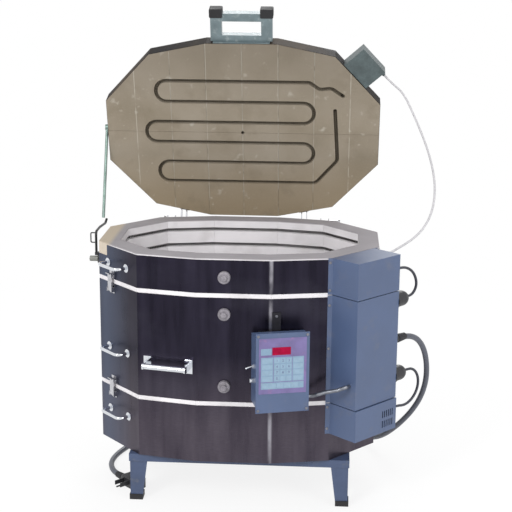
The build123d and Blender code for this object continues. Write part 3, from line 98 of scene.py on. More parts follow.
class Look:
    """One procedural material, built node by node on the object's own coordinates."""

    def __init__(self, name, metal=0.0, coat=0.0, sheen=0.0):
        self.mat = bpy.data.materials.new(name)
        self.mat.use_nodes = True
        self.tree = self.mat.node_tree
        self.shader = self.tree.nodes["Principled BSDF"]
        for socket, value in (("Metallic", metal), ("Coat Weight", coat), ("Coat Roughness", COAT_ROUGHNESS),
                              ("Sheen Weight", sheen)):
            self.shader.inputs[socket].default_value = value
        self.place = self.tree.nodes.new("ShaderNodeTexCoord").outputs["Object"]

    def link(self, source, target):
        self.tree.links.new(source, target)

    def noise(self, scale, detail=4.0, stretch=(1, 1, 1)):
        mapping = self.tree.nodes.new("ShaderNodeMapping")
        mapping.inputs["Scale"].default_value = stretch
        self.link(self.place, mapping.inputs["Vector"])
        node = self.tree.nodes.new("ShaderNodeTexNoise")
        node.inputs["Scale"].default_value = scale
        node.inputs["Detail"].default_value = detail
        self.link(mapping.outputs["Vector"], node.inputs["Vector"])
        return node.outputs["Fac"]

    def cells(self, scale):
        node = self.tree.nodes.new("ShaderNodeTexVoronoi")
        node.inputs["Scale"].default_value = scale
        self.link(self.place, node.inputs["Vector"])
        return node.outputs["Distance"]

    def axis(self, name, low, high):
        """0 to 1 between two places along one axis."""
        return self.fit(self.coordinate(name), low, high)

    def fit(self, value, low, high, to_low=0.0, to_high=1.0):
        """A value's span from low to high, carried over to another span and held at its ends."""
        node = self.tree.nodes.new("ShaderNodeMapRange")
        limits = {"From Min": low, "From Max": high, "To Min": to_low, "To Max": to_high}
        for socket, number in limits.items():
            node.inputs[socket].default_value = number
        self.link(value, node.inputs["Value"])
        return node.outputs["Result"]

    def math(self, operation, first, second):
        node = self.tree.nodes.new("ShaderNodeMath")
        node.operation = operation
        for socket, source in zip(node.inputs, (first, second)):
            if hasattr(source, "links"):
                self.link(source, socket)
            else:
                socket.default_value = source
        return node.outputs["Value"]

    def both(self, first, second):
        return self.math("MULTIPLY", first, second)

    def coordinate(self, name):
        split = self.tree.nodes.new("ShaderNodeSeparateXYZ")
        self.link(self.place, split.inputs["Vector"])
        return split.outputs[name]

    def near(self, name, place, full, none, every=None):
        """1 close to a place on one axis, or to each of a row of places, and 0 further off."""
        off = self.math("SUBTRACT", self.coordinate(name), place)
        if every:
            away = self.math("PINGPONG", off, every / 2)
        else:
            away = self.math("ABSOLUTE", off, 0.0)
        return self.fit(away, none, full)

    def ramp(self, value, *stops):
        node = self.tree.nodes.new("ShaderNodeValToRGB")
        points = node.color_ramp.elements
        while len(points) < len(stops):
            points.new(0.5)
        for point, (place, colour) in zip(points, stops):
            point.position = place
            point.color = (*colour, 1)
        self.link(value, node.inputs["Fac"])
        return node.outputs["Color"]

    def blend(self, share, first, second):
        """The first colour, giving way to the second by a share."""
        node = self.tree.nodes.new("ShaderNodeMix")
        node.data_type = "RGBA"
        for socket, source in ((node.inputs[0], share), (node.inputs[6], first), (node.inputs[7], second)):
            if hasattr(source, "links"):
                self.link(source, socket)
            else:
                socket.default_value = source if isinstance(source, float) else (*source, 1)
        return node.outputs[2]

    def finish(self, colour, rough, height=None, bump=0.2, depth=0.0005):
        self.link(colour, self.shader.inputs["Base Color"])
        self.link(rough, self.shader.inputs["Roughness"])
        if height is not None:
            node = self.tree.nodes.new("ShaderNodeBump")
            node.inputs["Strength"].default_value = bump
            node.inputs["Distance"].default_value = depth
            self.link(height, node.inputs["Height"])
            self.link(node.outputs["Normal"], self.shader.inputs["Normal"])
        return self.mat


def shade(colour, share):
    return tuple(channel * share for channel in colour)


def surface(name, colour, rough, metal=0.0, spread=0.12, scale=18.0, grain=600.0, bump=0.15, depth=0.0003,
            stretch=(1, 1, 1), coat=0.0, wear=None, sheen=0.0, specular=0.5):
    """A finish with large soft variation, a fine grain and, where given, a second colour in patches of wear."""
    look = Look(name, metal=metal, coat=coat, sheen=sheen)
    look.shader.inputs["Specular IOR Level"].default_value = specular
    broad = look.noise(scale, 5.0, stretch)
    fine = look.noise(grain, 3.0, stretch)
    tone = look.ramp(broad, (0.3, shade(colour, 1 - spread)), (0.7, shade(colour, 1 + spread)))
    tone = look.blend(look.fit(fine, 0.35, 0.65, 0.0, 0.35), tone, shade(colour, 1 - spread * 1.6))
    if wear:
        patches = look.noise(scale * 2.3, 8.0)
        tone = look.blend(look.fit(patches, 0.58, 0.74, 0.0, 0.7), tone, wear)
    return look.finish(tone, look.fit(broad, 0.3, 0.7, rough * 0.85, rough * 1.15), fine, bump, depth)


def jacket_look():
    """Bright steel gone dark with heat, with fine rolling lines; a painted floor reflection makes it paler low
    down, a painted blue reflection makes the left front bluer, and a painted highlight runs down the front
    corner's crease.
    """
    look = Look("jacket steel", metal=0.86)
    streaks = look.noise(9.0, 6.0, (3.2, 3.2, 0.45))
    lines = look.noise(260.0, 2.0, (0.25, 0.25, 6.0))
    cloud = look.noise(3.1, 5.0, (1.0, 1.0, 1.6))
    upper = look.ramp(streaks, (0.3, (0.013, 0.011, 0.022)), (0.72, (0.030, 0.026, 0.046)))
    # Painted floor reflection: a paler tone that takes over low down on the jacket.
    floor_reflection_tone = look.ramp(streaks, (0.3, (0.058, 0.048, 0.066)), (0.7, (0.100, 0.085, 0.108)))
    floor_reflection_share = look.axis("Z", 0.50, 0.27)
    tone = look.blend(floor_reflection_share, upper, floor_reflection_tone)
    tone = look.blend(look.fit(cloud, 0.52, 0.72, 0.0, 0.35), tone, (0.075, 0.072, 0.098))
    tone = look.blend(look.fit(lines, 0.4, 0.6, 0.0, 0.22), tone, (0.02, 0.018, 0.024))
    # Painted blue reflection on the left front facets.
    left_front_blue_reflection = look.both(look.axis("X", -0.33, -0.42), look.axis("Y", -0.06, -0.12))
    tone = look.blend(look.both(left_front_blue_reflection, 0.6), tone, (0.086, 0.113, 0.180))
    front_corner = at(front_side / 2, 0, 0).x
    # Painted highlight down the front corner's crease, broken up by noise.
    crease_highlight = look.near("X", front_corner, 0.0025, 0.0075)
    highlight_breakup = look.fit(look.noise(14.0, 5.0, (1.0, 1.0, 0.5)), 0.42, 0.60)
    tone = look.blend(look.both(crease_highlight, highlight_breakup), tone, (0.34, 0.33, 0.37))
    return look.finish(tone, look.fit(streaks, 0.3, 0.7, 0.24, 0.38), lines, 0.06, 0.0001)


def brick_look(name, colour, stain, stain_share, grain_depth, rim=None):
    """Insulating brick: chalky, porous, with soot in broad patches and, where given, a used rim."""
    look = Look(name)
    pores = look.cells(420.0)
    dust = look.noise(260.0, 6.0)
    broad = look.noise(7.0, 6.0)
    tone = look.ramp(broad, (0.28, shade(colour, 0.86)), (0.72, shade(colour, 1.06)))
    tone = look.blend(look.fit(look.noise(16.0, 9.0), 0.52, 0.74, 0.0, stain_share), tone, stain)
    tone = look.blend(look.fit(pores, 0.16, 0.05, 0.0, 0.35), tone, shade(stain, 0.8))
    tone = look.blend(look.fit(dust, 0.55, 0.75, 0.0, 0.30), tone, shade(colour, 1.16))
    if rim:
        top = look.axis("Z", rim_height - 0.004, rim_height - 0.001)
        tone = look.blend(top, tone, look.ramp(broad, (0.28, shade(rim, 0.88)), (0.72, shade(rim, 1.08))))
        just_below = look.axis("Z", rim_height - 0.08, rim_height - 0.05)
        corner = look.both(just_below, look.axis("X", -0.395, -0.410))
        tone = look.blend(look.both(corner, 0.8), tone, (0.50, 0.42, 0.31))
    return look.finish(tone, look.fit(dust, 0.3, 0.7, 0.88, 0.97), dust, 0.35, grain_depth)


def lid_brick_look():
    """The lid's brick: fired tan, browner by the hinge, darker at the free edge, with scorch and repairs."""
    look = Look("lid brick")
    grain = look.noise(300.0, 6.0)
    broad = look.noise(4.6, 6.0)
    tone = look.ramp(broad, (0.26, (0.190, 0.158, 0.112)), (0.5, (0.250, 0.212, 0.160)),
                     (0.76, (0.300, 0.262, 0.210)))
    by_hinge = look.axis("Z", 1.02, 0.82)
    tone = look.blend(by_hinge, tone, (0.262, 0.205, 0.132))
    tone = look.blend(look.fit(look.noise(11.0, 9.0), 0.56, 0.74, 0.0, 0.55), tone, (0.160, 0.128, 0.085))
    tone = look.blend(look.fit(look.noise(34.0, 8.0), 0.64, 0.74, 0.0, 0.6), tone, (0.44, 0.41, 0.35))
    tone = look.blend(look.fit(grain, 0.56, 0.72, 0.0, 0.25), tone, (0.38, 0.34, 0.28))
    free_edge = look.axis("Z", 1.15, 1.38)
    tone = look.blend(look.fit(free_edge, 0.0, 1.0, 0.0, 0.6), tone, (0.158, 0.135, 0.105))
    patchy = look.fit(look.noise(24.0, 4.0), 0.36, 0.50)
    seams = look.near("X", at(lid_shift, 0, 0).x, 0.0006, 0.0018, every=lid_seam_pitch)
    tone = look.blend(look.both(look.both(seams, patchy), 0.45), tone, (0.52, 0.50, 0.44))
    return look.finish(tone, look.fit(grain, 0.3, 0.7, 0.9, 0.98), grain, 0.3, 0.0006)


def band_look():
    """The lid's band: brown-gold and dark reflections in broad patches."""
    look = Look("band steel", metal=0.2)
    look.shader.inputs["Specular IOR Level"].default_value = 0.06
    patches = look.noise(5.5, 3.0, (1.0, 1.0, 0.6))
    lines = look.noise(300.0, 2.0, (0.3, 0.3, 5.0))
    tone = look.ramp(patches, (0.36, (0.004, 0.003, 0.004)), (0.5, (0.014, 0.010, 0.008)),
                     (0.66, (0.060, 0.045, 0.032)))
    return look.finish(tone, look.fit(patches, 0.3, 0.7, 0.5, 0.65), lines, 0.06, 0.0001)


looks = {
    "stand": surface("stand paint", (0.054, 0.078, 0.148), 0.42, spread=0.14, grain=420, bump=0.25,
                     wear=(0.11, 0.12, 0.15)),
    "rubber": surface("black rubber", (0.012, 0.012, 0.014), 0.62, spread=0.3, grain=900, bump=0.3),
    "jacket": jacket_look(),
    "band": band_look(),
    "pan": surface("pan steel", (0.20, 0.19, 0.21), 0.38, metal=0.8, stretch=(1, 4, 1)),
    "brick": brick_look("wall brick", (0.76, 0.735, 0.755), (0.46, 0.43, 0.43), 0.35, 0.0007,
                        rim=(0.315, 0.298, 0.315)),
    "floor brick": brick_look("floor brick", (0.55, 0.52, 0.50), (0.30, 0.25, 0.21), 0.55, 0.0007),
    "lid brick": lid_brick_look(),
    "steel": surface("bright steel", (0.58, 0.58, 0.61), 0.26, metal=1.0, spread=0.10, grain=500, bump=0.08,
                     wear=(0.28, 0.25, 0.22)),
    "zinc": surface("zinc plate", (0.27, 0.28, 0.31), 0.34, metal=1.0, spread=0.25, scale=70, grain=300,
                    bump=0.1),
    "wire": surface("oxidised wire", (0.032, 0.027, 0.025), 0.7, metal=0.35, spread=0.35, scale=120,
                    grain=900),
    "lid wire": surface("lid wire", (0.105, 0.088, 0.062), 0.75, metal=0.2, spread=0.3, scale=120, grain=900),
    "screw": surface("screw steel", (0.24, 0.24, 0.27), 0.4, metal=0.9, spread=0.2, scale=90),
    "dark steel": surface("dark steel", (0.030, 0.029, 0.036), 0.45, metal=0.7, spread=0.2, scale=50,
                          grain=500),
    "box": surface("box paint", (0.070, 0.104, 0.198), 0.40, spread=0.07, scale=9, grain=330, bump=0.30,
                   depth=0.0004, coat=0.15, wear=(0.095, 0.115, 0.18)),
    "handle paint": surface("handle enamel", (0.150, 0.196, 0.210), 0.36, metal=0.25, spread=0.2, scale=30,
                            wear=(0.30, 0.34, 0.34)),
    "dark handle": surface("junction paint", (0.083, 0.109, 0.112), 0.42, metal=0.2, spread=0.28, scale=36),
    "prop": surface("prop paint", (0.21, 0.29, 0.26), 0.38, metal=0.5, spread=0.3, scale=26,
                    wear=(0.05, 0.13, 0.09)),
    "black paint": surface("black paint", (0.016, 0.017, 0.018), 0.42, spread=0.3, scale=60,
                           wear=(0.08, 0.075, 0.07)),
    "ceramic": surface("ceramic", (0.62, 0.60, 0.58), 0.45, spread=0.08, scale=40, coat=0.2),
    "plug ceramic": surface("plug ceramic", (0.235, 0.218, 0.245), 0.62, spread=0.28, scale=60, grain=700,
                            bump=0.3, wear=(0.42, 0.40, 0.40)),
    "black plastic": surface("black plastic", (0.022, 0.022, 0.026), 0.42, spread=0.2, grain=1000, bump=0.2),
    "knob": surface("knob plastic", (0.25, 0.255, 0.23), 0.5, spread=0.15, scale=90),
    "core": surface("iron core", (0.09, 0.09, 0.10), 0.5, metal=0.6, stretch=(1, 1, 30), grain=300),
    "film": surface("purple film", (0.152, 0.122, 0.285), 0.34, spread=0.20, scale=26, grain=900, bump=0.05,
                    coat=0.2, wear=(0.26, 0.13, 0.27)),
    "pale film": surface("pale film", (0.187, 0.292, 0.405), 0.36, spread=0.09, scale=60, grain=900,
                         bump=0.05, coat=0.2, wear=(0.26, 0.33, 0.36)),
    "key": surface("key film", (0.225, 0.335, 0.44), 0.36, spread=0.08, scale=90, grain=900, bump=0.05,
                   coat=0.2),
    "ink": surface("ink", (0.075, 0.085, 0.20), 0.45, spread=0.2, scale=90),
    "window": surface("red window", (0.32, 0.003, 0.036), 0.5, spread=0.22, scale=55, grain=1400, bump=0.02,
                      specular=0.08),
    "board": surface("circuit board", (0.02, 0.14, 0.05), 0.35, spread=0.25, scale=200),
    "chrome": surface("chrome", (0.72, 0.74, 0.78), 0.10, metal=1.0, spread=0.06, scale=50, grain=700,
                      bump=0.03),
    "sleeve": surface("lead sleeve", (0.52, 0.51, 0.53), 0.6, spread=0.16, scale=150, grain=1600, bump=0.5,
                      sheen=0.3),
    "grey cord": surface("grey cord", (0.085, 0.092, 0.118), 0.38, spread=0.14, scale=40, grain=1300,
                         bump=0.25),
    "dark cord": surface("dark cord", (0.030, 0.032, 0.048), 0.40, spread=0.2, scale=60, grain=1300,
                         bump=0.25),
}
node_looks = {
    "stand": ["stand_frame"], "rubber": ["leg_feet", "lid_handle_caps"],
    "jacket": ["bottom_jacket", "middle_jacket", "top_jacket"], "band": ["lid_band"], "pan": ["floor_pan"],
    "brick": ["bottom_ring_bricks", "middle_ring_bricks", "top_ring_bricks"], "floor brick": ["floor_slab"],
    "lid brick": ["lid_slab"], "screw": ["screws_and_bolts"],
    "steel": ["jacket_clamps", "latch_plates", "upper_latch_lever", "lower_latch_lever",
              "hinge_brackets", "hinge_rod", "lid_brackets"],
    "zinc": ["box_back_plates", "controller_conduit"],
    "wire": ["bottom_element", "middle_elements", "top_element"], "lid wire": ["lid_element"],
    "dark steel": ["controller_bracket"],
    "box": ["bottom_box_cover", "middle_box_cover", "top_box_cover", "controller_box", "controller_panel"],
    "dark handle": ["lid_junction_box"], "handle paint": ["lid_handle"], "prop": ["prop_rod"],
    "black paint": ["prop_bracket"], "ceramic": ["terminal_blocks", "thermocouple"],
    "plug ceramic": ["peephole_plug_top", "peephole_plug_upper", "peephole_plug_lower"],
    "black plastic": ["power_relays", "jumper_receptacles", "cord_glands", "jumper_plugs", "power_plug"],
    "knob": ["prop_knob"], "core": ["control_transformer"], "window": ["controller_display"],
    "film": ["controller_keypad"], "board": ["controller_circuit_board"],
    "chrome": ["controller_side_fittings", "toggle_lever", "handle_grips", "handle_brackets"],
    "sleeve": ["lid_lead"], "dark cord": ["jumper_cord_upper", "jumper_cord_lower"],
    "grey cord": ["power_cord"],
}
for look_name, members in node_looks.items():
    for member in members:
        mesh = nodes[member].data
        mesh.materials.clear()
        mesh.materials.append(looks[look_name])


def dress(piece, look_name, body, slot, *replaced):
    """Gives a new piece its finish, its body and the nodes that it stands for; the slot is not used."""
    piece.data.materials.clear()
    piece.data.materials.append(looks[look_name])
    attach(piece, body)
    if replaced:
        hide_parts(*replaced)
    return piece


# Frames of the body: the boxes' side, and the controller
shallow_run = (shallow_side * cos(shallow_turn), shallow_side * sin(shallow_turn))
steep_run = (steep_side * cos(steep_turn), steep_side * sin(steep_turn))
half_length = front_side / 2 + shallow_run[0] + steep_run[0]
half_width = end_side / 2 + shallow_run[1] + steep_run[1]
quarter = [(front_side / 2, -half_width), (front_side / 2 + shallow_run[0], -half_width + shallow_run[1]),
           (half_length, -end_side / 2)]
right_half = quarter + [(x, -y) for x, y in reversed(quarter)]
corners = [Vector(p) for p in right_half + [(-x, -y) for x, y in right_half]]
SIDES = len(corners)
STEEP_RIGHT = 2


def side_axes(side):
    """A side's middle, the way along it and the way out of it."""
    start, end = corners[side - 1], corners[side]
    along = (end - start).normalized()
    return (start + end) / 2, along, Vector((along.y, -along.x))


def on_boxes(across, up, out):
    """A place on the side that carries the boxes."""
    middle, along, outward = side_axes(STEEP_RIGHT)
    flat = middle + along * across + outward * out
    return (flat.x, flat.y, up)


def plan(offset):
    """The plan's corners, moved out by an offset."""
    moved = []
    for index in range(SIDES):
        _, one_way, one_out = side_axes(index)
        _, next_way, next_out = side_axes((index + 1) % SIDES)
        half_turn = acos(max(-1.0, min(1.0, one_way.dot(next_way)))) / 2
        moved.append(corners[index] + (one_out + next_out).normalized() * (offset / cos(half_turn)))
    return moved


desk_along = Vector((cos(controller_turn), sin(controller_turn), 0))
desk_out = Vector((sin(controller_turn), -cos(controller_turn), 0))
desk_corner = Vector((front_side / 2, -half_width, controller_z))


def on_desk(across, up, out):
    """A place on the controller's frame."""
    return desk_corner + desk_along * across + Vector((0, 0, up)) + desk_out * out


hinge_y, hinge_z = half_width + hinge_setback, rim_z - hinge_drop


def opened(x, y, z):
    """Where a point of the closed lid lies with the lid open."""
    out_y, out_z = y - hinge_y, z - hinge_z
    return (x + lid_shift, hinge_y + out_y * cos(lid_open) + out_z * sin(lid_open),
            hinge_z - out_y * sin(lid_open) + out_z * cos(lid_open))


# Free cords, each on the route of its solid
def nurbs_cord(name, route, diameter):
    curve = bpy.data.curves.new(name, "CURVE")
    curve.dimensions = "3D"
    curve.bevel_depth = diameter / 2 * MM
    curve.bevel_resolution = 5
    curve.use_fill_caps = True
    spline = curve.splines.new("NURBS")
    spline.points.add(len(route) - 1)
    for point, place in zip(spline.points, route):
        point.co = (*at(*place), 1)
    spline.order_u = 3
    spline.use_endpoint_u = True
    spline.resolution_u = 12
    return add_object(name, curve)


jumper_diameter, power_cord_diameter, lead_diameter = 8.5, 18.0, 7.0
gland_length, power_gland_length = 14.0, 26.0
receptacle_depth, plug_dome_length = 8.0, 56.0
power_cord_run, lead_run = 46.0, 22.0
upper_jumper_z, upper_plug_z = stand_height + 595.0, stand_height + 497.0
lower_jumper_z, lower_plug_z = stand_height + 145.0, stand_height + 256.0
power_cord_z = stand_height + 370.0
lead_entry_out, lead_entry_z = 34.0, rim_z - 14.5
floor_line = power_cord_diameter / 2 + 0.2
gland_face = box_right + part_fit + gland_length
power_gland_face = box_right + part_fit + power_gland_length
plug_face = box_right + part_fit * 2 + receptacle_depth + plug_dome_length
upper_route = [on_boxes(*p) for p in (
    (gland_face, upper_jumper_z, cord_line), (121, upper_jumper_z, cord_line),
    (146, upper_jumper_z - 6, 81), (168, upper_jumper_z - 20, 83), (183, upper_jumper_z - 41, 84),
    (191, upper_jumper_z - 66, 83), (184, upper_plug_z + 11, 81), (168, upper_plug_z, cord_line),
    (plug_face, upper_plug_z, cord_line))]
lower_route = [on_boxes(*p) for p in (
    (gland_face, lower_jumper_z, cord_line), (122, lower_jumper_z, cord_line),
    (150, lower_jumper_z - 6, 81), (178, lower_jumper_z, 83), (202, lower_jumper_z + 18, 84),
    (215, lower_jumper_z + 44, 85), (216, lower_plug_z - 39, 84), (205, lower_plug_z - 16, 82),
    (187, lower_plug_z - 3, 81), (168, lower_plug_z, cord_line), (plug_face, lower_plug_z, cord_line))]
power_route = [
    on_boxes(power_gland_face, power_cord_z, cord_line),
    on_boxes(power_gland_face + power_cord_run, power_cord_z, cord_line),
    (565, -84, 506), (590, -52, 464), (604, -24, 404), (607, 5, 334), (594, 36, 264), (568, 69, 202),
    (536, 104, 148), (505, 143, 102), (478, 188, 64), (450, 236, 36), (414, 282, 17), (368, 318, floor_line),
    (304, 343, floor_line), (222, 356, floor_line), (120, 351, floor_line), (0, 358, floor_line),
    (-118, 350, floor_line), (-218, 334, floor_line), (-303, 303, floor_line), (-358, 248, floor_line),
    (-386, 184, floor_line), (-412, 124, floor_line), (-430, 66, floor_line), (-435, 10, floor_line),
    (-424, -40, floor_line), (-403, -79, floor_line), (-375, -107, floor_line)]
lead_route = [
    (447.54, 224.09, 1297.51), (471.86, 231.41, 1272.00), (510, 196, 1244), (538, 170, 1190),
    (564, 138, 1135), (586, 104, 1082), (602, 66, 1030), (610, 24, 980), (607, -18, 932),
    (593, -56, 889), (568, -84, 853), (536, -101, 826), (502, -108, 805),
    on_boxes(gland_face + lead_run, lead_entry_z, lead_entry_out),
    on_boxes(gland_face, lead_entry_z, lead_entry_out)]

# Each cord's route, diameter in mm, length in m, look, slot, node and far end
cords = {
    "upper_jumper_cable": (upper_route, jumper_diameter, 0.189, "dark cord", "black_cord", "jumper_cord_upper",
                           "object"),
    "lower_jumper_cable": (lower_route, jumper_diameter, 0.256, "dark cord", "black_cord", "jumper_cord_lower",
                           "object"),
    "supply_cable": (power_route, power_cord_diameter, 1.983, "grey cord", "black_cord", "power_cord", "plug"),
    "lid_cable": (lead_route, lead_diameter, 0.742, "sleeve", "pale_flex", "lid_lead", "object"),
}
for cord_name, (route, diameter, length, look_name, slot, node, far_end) in cords.items():
    piece = dress(nurbs_cord(cord_name, route, diameter), look_name, "body", slot, node)


# Tapered strain reliefs, flattened where one lies on the floor
RELIEF_STEPS = 28
RELIEF_SHARP = radians(40)
floor_clear = 0.3
rib_height = 0.9
rib_profile = ((0.0, 0.0), (0.12, rib_height), (0.55, rib_height), (0.67, 0.0))


def relief_outline(length, wide, narrow, ribs):
    """A ribbed sleeve that narrows, as (distance along, radius) pairs."""
    outline = []
    for rib in range(ribs):
        for share, extra in rib_profile:
            along = (rib + share) / ribs
            outline.append((along * length, wide + (narrow - wide) * along + extra))
    return outline + [(length, narrow)]


def strain_relief(name, start, way, outline):
    """A turned sleeve round a line, from (distance along, radius) pairs in millimetres."""
    mesh = bpy.data.meshes.new(name)
    form = bmesh.new()
    turn = Vector((0, 0, 1)).rotation_difference(Vector(way)).to_matrix()
    start = Vector(start)
    rings = []
    for along, radius in outline:
        ring = []
        for step in range(RELIEF_STEPS):
            angle = 2 * pi * step / RELIEF_STEPS
            local = turn @ Vector((radius * cos(angle), radius * sin(angle), along))
            spot = start + local
            ring.append(form.verts.new(at(spot.x, spot.y, max(spot.z, floor_clear))))
        rings.append(ring)
    for low, high in zip(rings, rings[1:]):
        for step in range(RELIEF_STEPS):
            after = (step + 1) % RELIEF_STEPS
            form.faces.new((low[step], low[after], high[after], high[step]))
    form.faces.new(list(reversed(rings[0])))
    form.faces.new(rings[-1])
    form.to_mesh(mesh)
    form.free()
    mesh.shade_smooth()
    mesh.set_sharp_from_angle(angle=RELIEF_SHARP)
    return dress(add_object(name, mesh), "black plastic", "body", "black_plastic")


box_way = Vector((*side_axes(STEEP_RIGHT)[1], 0))
strain_relief("supply_strain_relief", power_route[0], box_way,
              relief_outline(length=38, wide=13.0, narrow=9.9, ribs=7))
plug_start = Vector(power_route[-1])
plug_way = (Vector(power_route[-2]) - plug_start).normalized()
plug_relief_gap = 2
strain_relief("plug_strain_relief", plug_start + plug_way * plug_relief_gap, plug_way,
              relief_outline(length=30, wide=11.0, narrow=9.15, ribs=6))


# Wound heating elements, seated in the grooves
ARC_STEP = 4.0
STRAIGHT = 0.01
TURN_POINTS = 8
coil_pitch, coil_turn_radius, coil_wire = 7.0, 3.8, 2.2


def rounded(points, radii):
    """Points of a rigid wire's line, with an arc at each inner corner."""
    points = [Vector(p) for p in points]
    line = [points[0]]
    for before, here, after, radius in zip(points, points[1:], points[2:], radii):
        back, ahead = (before - here).normalized(), (after - here).normalized()
        turn = pi - back.angle(ahead)
        if turn < STRAIGHT:
            line.append(here)
            continue
        reach = min(radius * tan(turn / 2), (before - here).length * 0.5, (after - here).length * 0.5)
        radius = reach / tan(turn / 2)
        centre = here + (back + ahead).normalized() * (radius / cos(turn / 2))
        first, last = here + back * reach - centre, here + ahead * reach - centre
        count = max(3, int(radius * turn / ARC_STEP))
        for index in range(count + 1):
            share = index / count
            weight_first = sin((1 - share) * turn) / sin(turn)
            line.append(centre + first * weight_first + last * (sin(share * turn) / sin(turn)))
    return line + [points[-1]]


def coil(name, lines):
    """A wire wound round each line, all of them in one curve."""
    curve = bpy.data.curves.new(name, "CURVE")
    curve.dimensions = "3D"
    curve.bevel_depth = coil_wire / 2 * MM
    curve.bevel_resolution = 1
    for line in lines:
        places, ways = [], []
        carry = 0.0
        for start, end in zip(line, line[1:]):
            run = (end - start).length
            while run > 1e-9 and carry <= run:
                places.append(start.lerp(end, carry / run))
                ways.append((end - start) / run)
                carry += coil_pitch / TURN_POINTS
            carry -= run
        side = Vector((0, 0, 1)) if abs(ways[0].z) < 0.9 else Vector((1, 0, 0))
        spline = curve.splines.new("POLY")
        spline.points.add(len(places) - 1)
        for index, (place, way) in enumerate(zip(places, ways)):
            side = (side - way * side.dot(way)).normalized()
            angle = 2 * pi * index / TURN_POINTS
            off_line = (side * cos(angle) + way.cross(side) * sin(angle)) * coil_turn_radius
            spline.points[index].co = (*at(*(place + off_line)), 1)
    return add_object(name, curve)


COIL_AXIS = -55.8
low_groove, high_groove = 31.5, 82.8
tail_in, tail_climb, tail_out, tail_reach = -18.0, -46.0, -68.0, 21.0
tail_bend, ring_bend = 8.0, 18.0
inner_line = plan(COIL_AXIS)
turn_order = [inner_line[(STEEP_RIGHT + step) % SIDES] for step in range(SIDES)]


def ring_line(base):
    """The line of one course's element: in through the wall, round low, round high and out again."""
    low, high = base + low_groove, base + high_groove
    points = [on_boxes(tail_in, low, tail_reach), on_boxes(tail_in, low, COIL_AXIS)]
    points += [(p.x, p.y, low) for p in turn_order]
    points += [on_boxes(tail_climb, low, COIL_AXIS), on_boxes(tail_climb, high, COIL_AXIS)]
    points += [(p.x, p.y, high) for p in turn_order]
    points += [on_boxes(tail_out, high, COIL_AXIS), on_boxes(tail_out, high, tail_reach)]
    once_round = [ring_bend] * SIDES
    return rounded(points, [tail_bend, *once_round, tail_bend, tail_bend, *once_round, tail_bend])


ring_lines = [ring_line(bottom_z + course * brick_course) for course in range(courses)]
ring_coils = {
    "bottom_coil": (ring_lines[:1], "bottom_element"),
    "middle_coils": (ring_lines[1:-1], "middle_elements"),
    "top_coil": (ring_lines[-1:], "top_element"),
}
for coil_name, (lines, element) in ring_coils.items():
    dress(coil(coil_name, lines), "wire", "body", "heating_wire", element)

lid_low = rim_z + lid_gap
lid_coil_level, lid_tail_level = lid_low + 8.7, lid_low + 36.0
lid_tail_reach = lid_overhang + 16.0
row, left_short, left_long, right_end = 72.6, -284.0, -321.0, 236.0
lid_start, lid_end = (330.0, -136.0), (305.0, -84.0)
lid_turns = [(292, -162), (253, -158), (221, -2.5 * row),
             (left_short, -2.5 * row), (left_short, -1.5 * row), (right_end, -1.5 * row),
             (right_end, -0.5 * row), (left_long, -0.5 * row), (left_long, 0.5 * row),
             (right_end, 0.5 * row), (right_end, 1.5 * row), (left_short, 1.5 * row),
             (left_short, 2.5 * row), (244, 2.5 * row), (316, 96), (310, -6)]
lid_bend, row_bend = 22, row / 2 - 1


def lid_tail(place):
    """Where the tail above a place comes out on the boxes' side."""
    middle, along, _ = side_axes(STEEP_RIGHT)
    return on_boxes((Vector(place) - middle).dot(along), lid_tail_level, lid_tail_reach)


lid_points = [lid_tail(lid_start), (*lid_start, lid_tail_level)]
lid_points += [(*p, lid_coil_level) for p in (lid_start, *lid_turns, lid_end)]
lid_points += [(*lid_end, lid_tail_level), lid_tail(lid_end)]
lid_bends = [tail_bend] * 2 + [lid_bend] * 3 + [row_bend] * 10 + [lid_bend] * 3 + [tail_bend] * 2
lid_line = [Vector(opened(*p)) for p in rounded(lid_points, lid_bends)]
dress(coil("lid_coil", [lid_line]), "lid wire", "lid", "heating_wire", "lid_element")


# Controller face: the film, its pale fields, the keys and their numbers
def face_plates(name, parts, low, high, look_name, bevel, *replaced):
    """Thin bevelled plates, from (across, up) spans and the two levels that they lie between."""
    mesh = bpy.data.meshes.new(name)
    form = bmesh.new()
    for across, up in parts:
        spans = (across, up, (low, high))
        for vert in bmesh.ops.create_cube(form, size=1.0)["verts"]:
            share = vert.co + Vector((0.5, 0.5, 0.5))
            spot = [start + (end - start) * part for (start, end), part in zip(spans, share)]
            vert.co = at(*on_desk(*spot))
    form.normal_update()
    bmesh.ops.recalc_face_normals(form, faces=form.faces)
    upright = [edge for edge in form.edges
               if abs((edge.verts[1].co - edge.verts[0].co).normalized().dot(desk_out)) > 0.99]
    bmesh.ops.bevel(form, geom=upright, offset=bevel * MM, segments=4, affect="EDGES", profile=0.5)
    form.to_mesh(mesh)
    form.free()
    return dress(add_object(name, mesh), look_name, "body", "overlay_film", *replaced)


film_face = controller_face + 0.8
field_face, key_face = film_face + 0.25, film_face + 0.55
film_left, film_right, film_low, film_high = -52, 92, 60, 232
window_left, window_right, window_low, window_high = -12, 44, 180, 204
film_parts = [((film_left, film_right), (film_low, window_low)),
              ((film_left, film_right), (window_high, film_high)),
              ((film_left, window_left), (window_low, window_high)),
              ((window_right, film_right), (window_low, window_high))]
face_plates("printed_film", film_parts, controller_face, film_face, "film", 0.05, "controller_keypad")
number_field, key_block = (-7.5, 48.0), (97.5, 173.5)
fields = [((-46, -14.5), (181, 201)), ((-45.5, -9), key_block), (number_field, key_block),
          ((49.5, 84), key_block), ((-45.5, 84), (75, 95.5))]
face_plates("pale_fields", fields, film_face, field_face, "pale film", 1.2)
key_width, key_tall = 15.0, 14.5
key_lines = [155.2 - line * 18.4 for line in range(4)]
key_columns = [number_field[0] + 2.6 + column * 18.1 for column in range(3)]
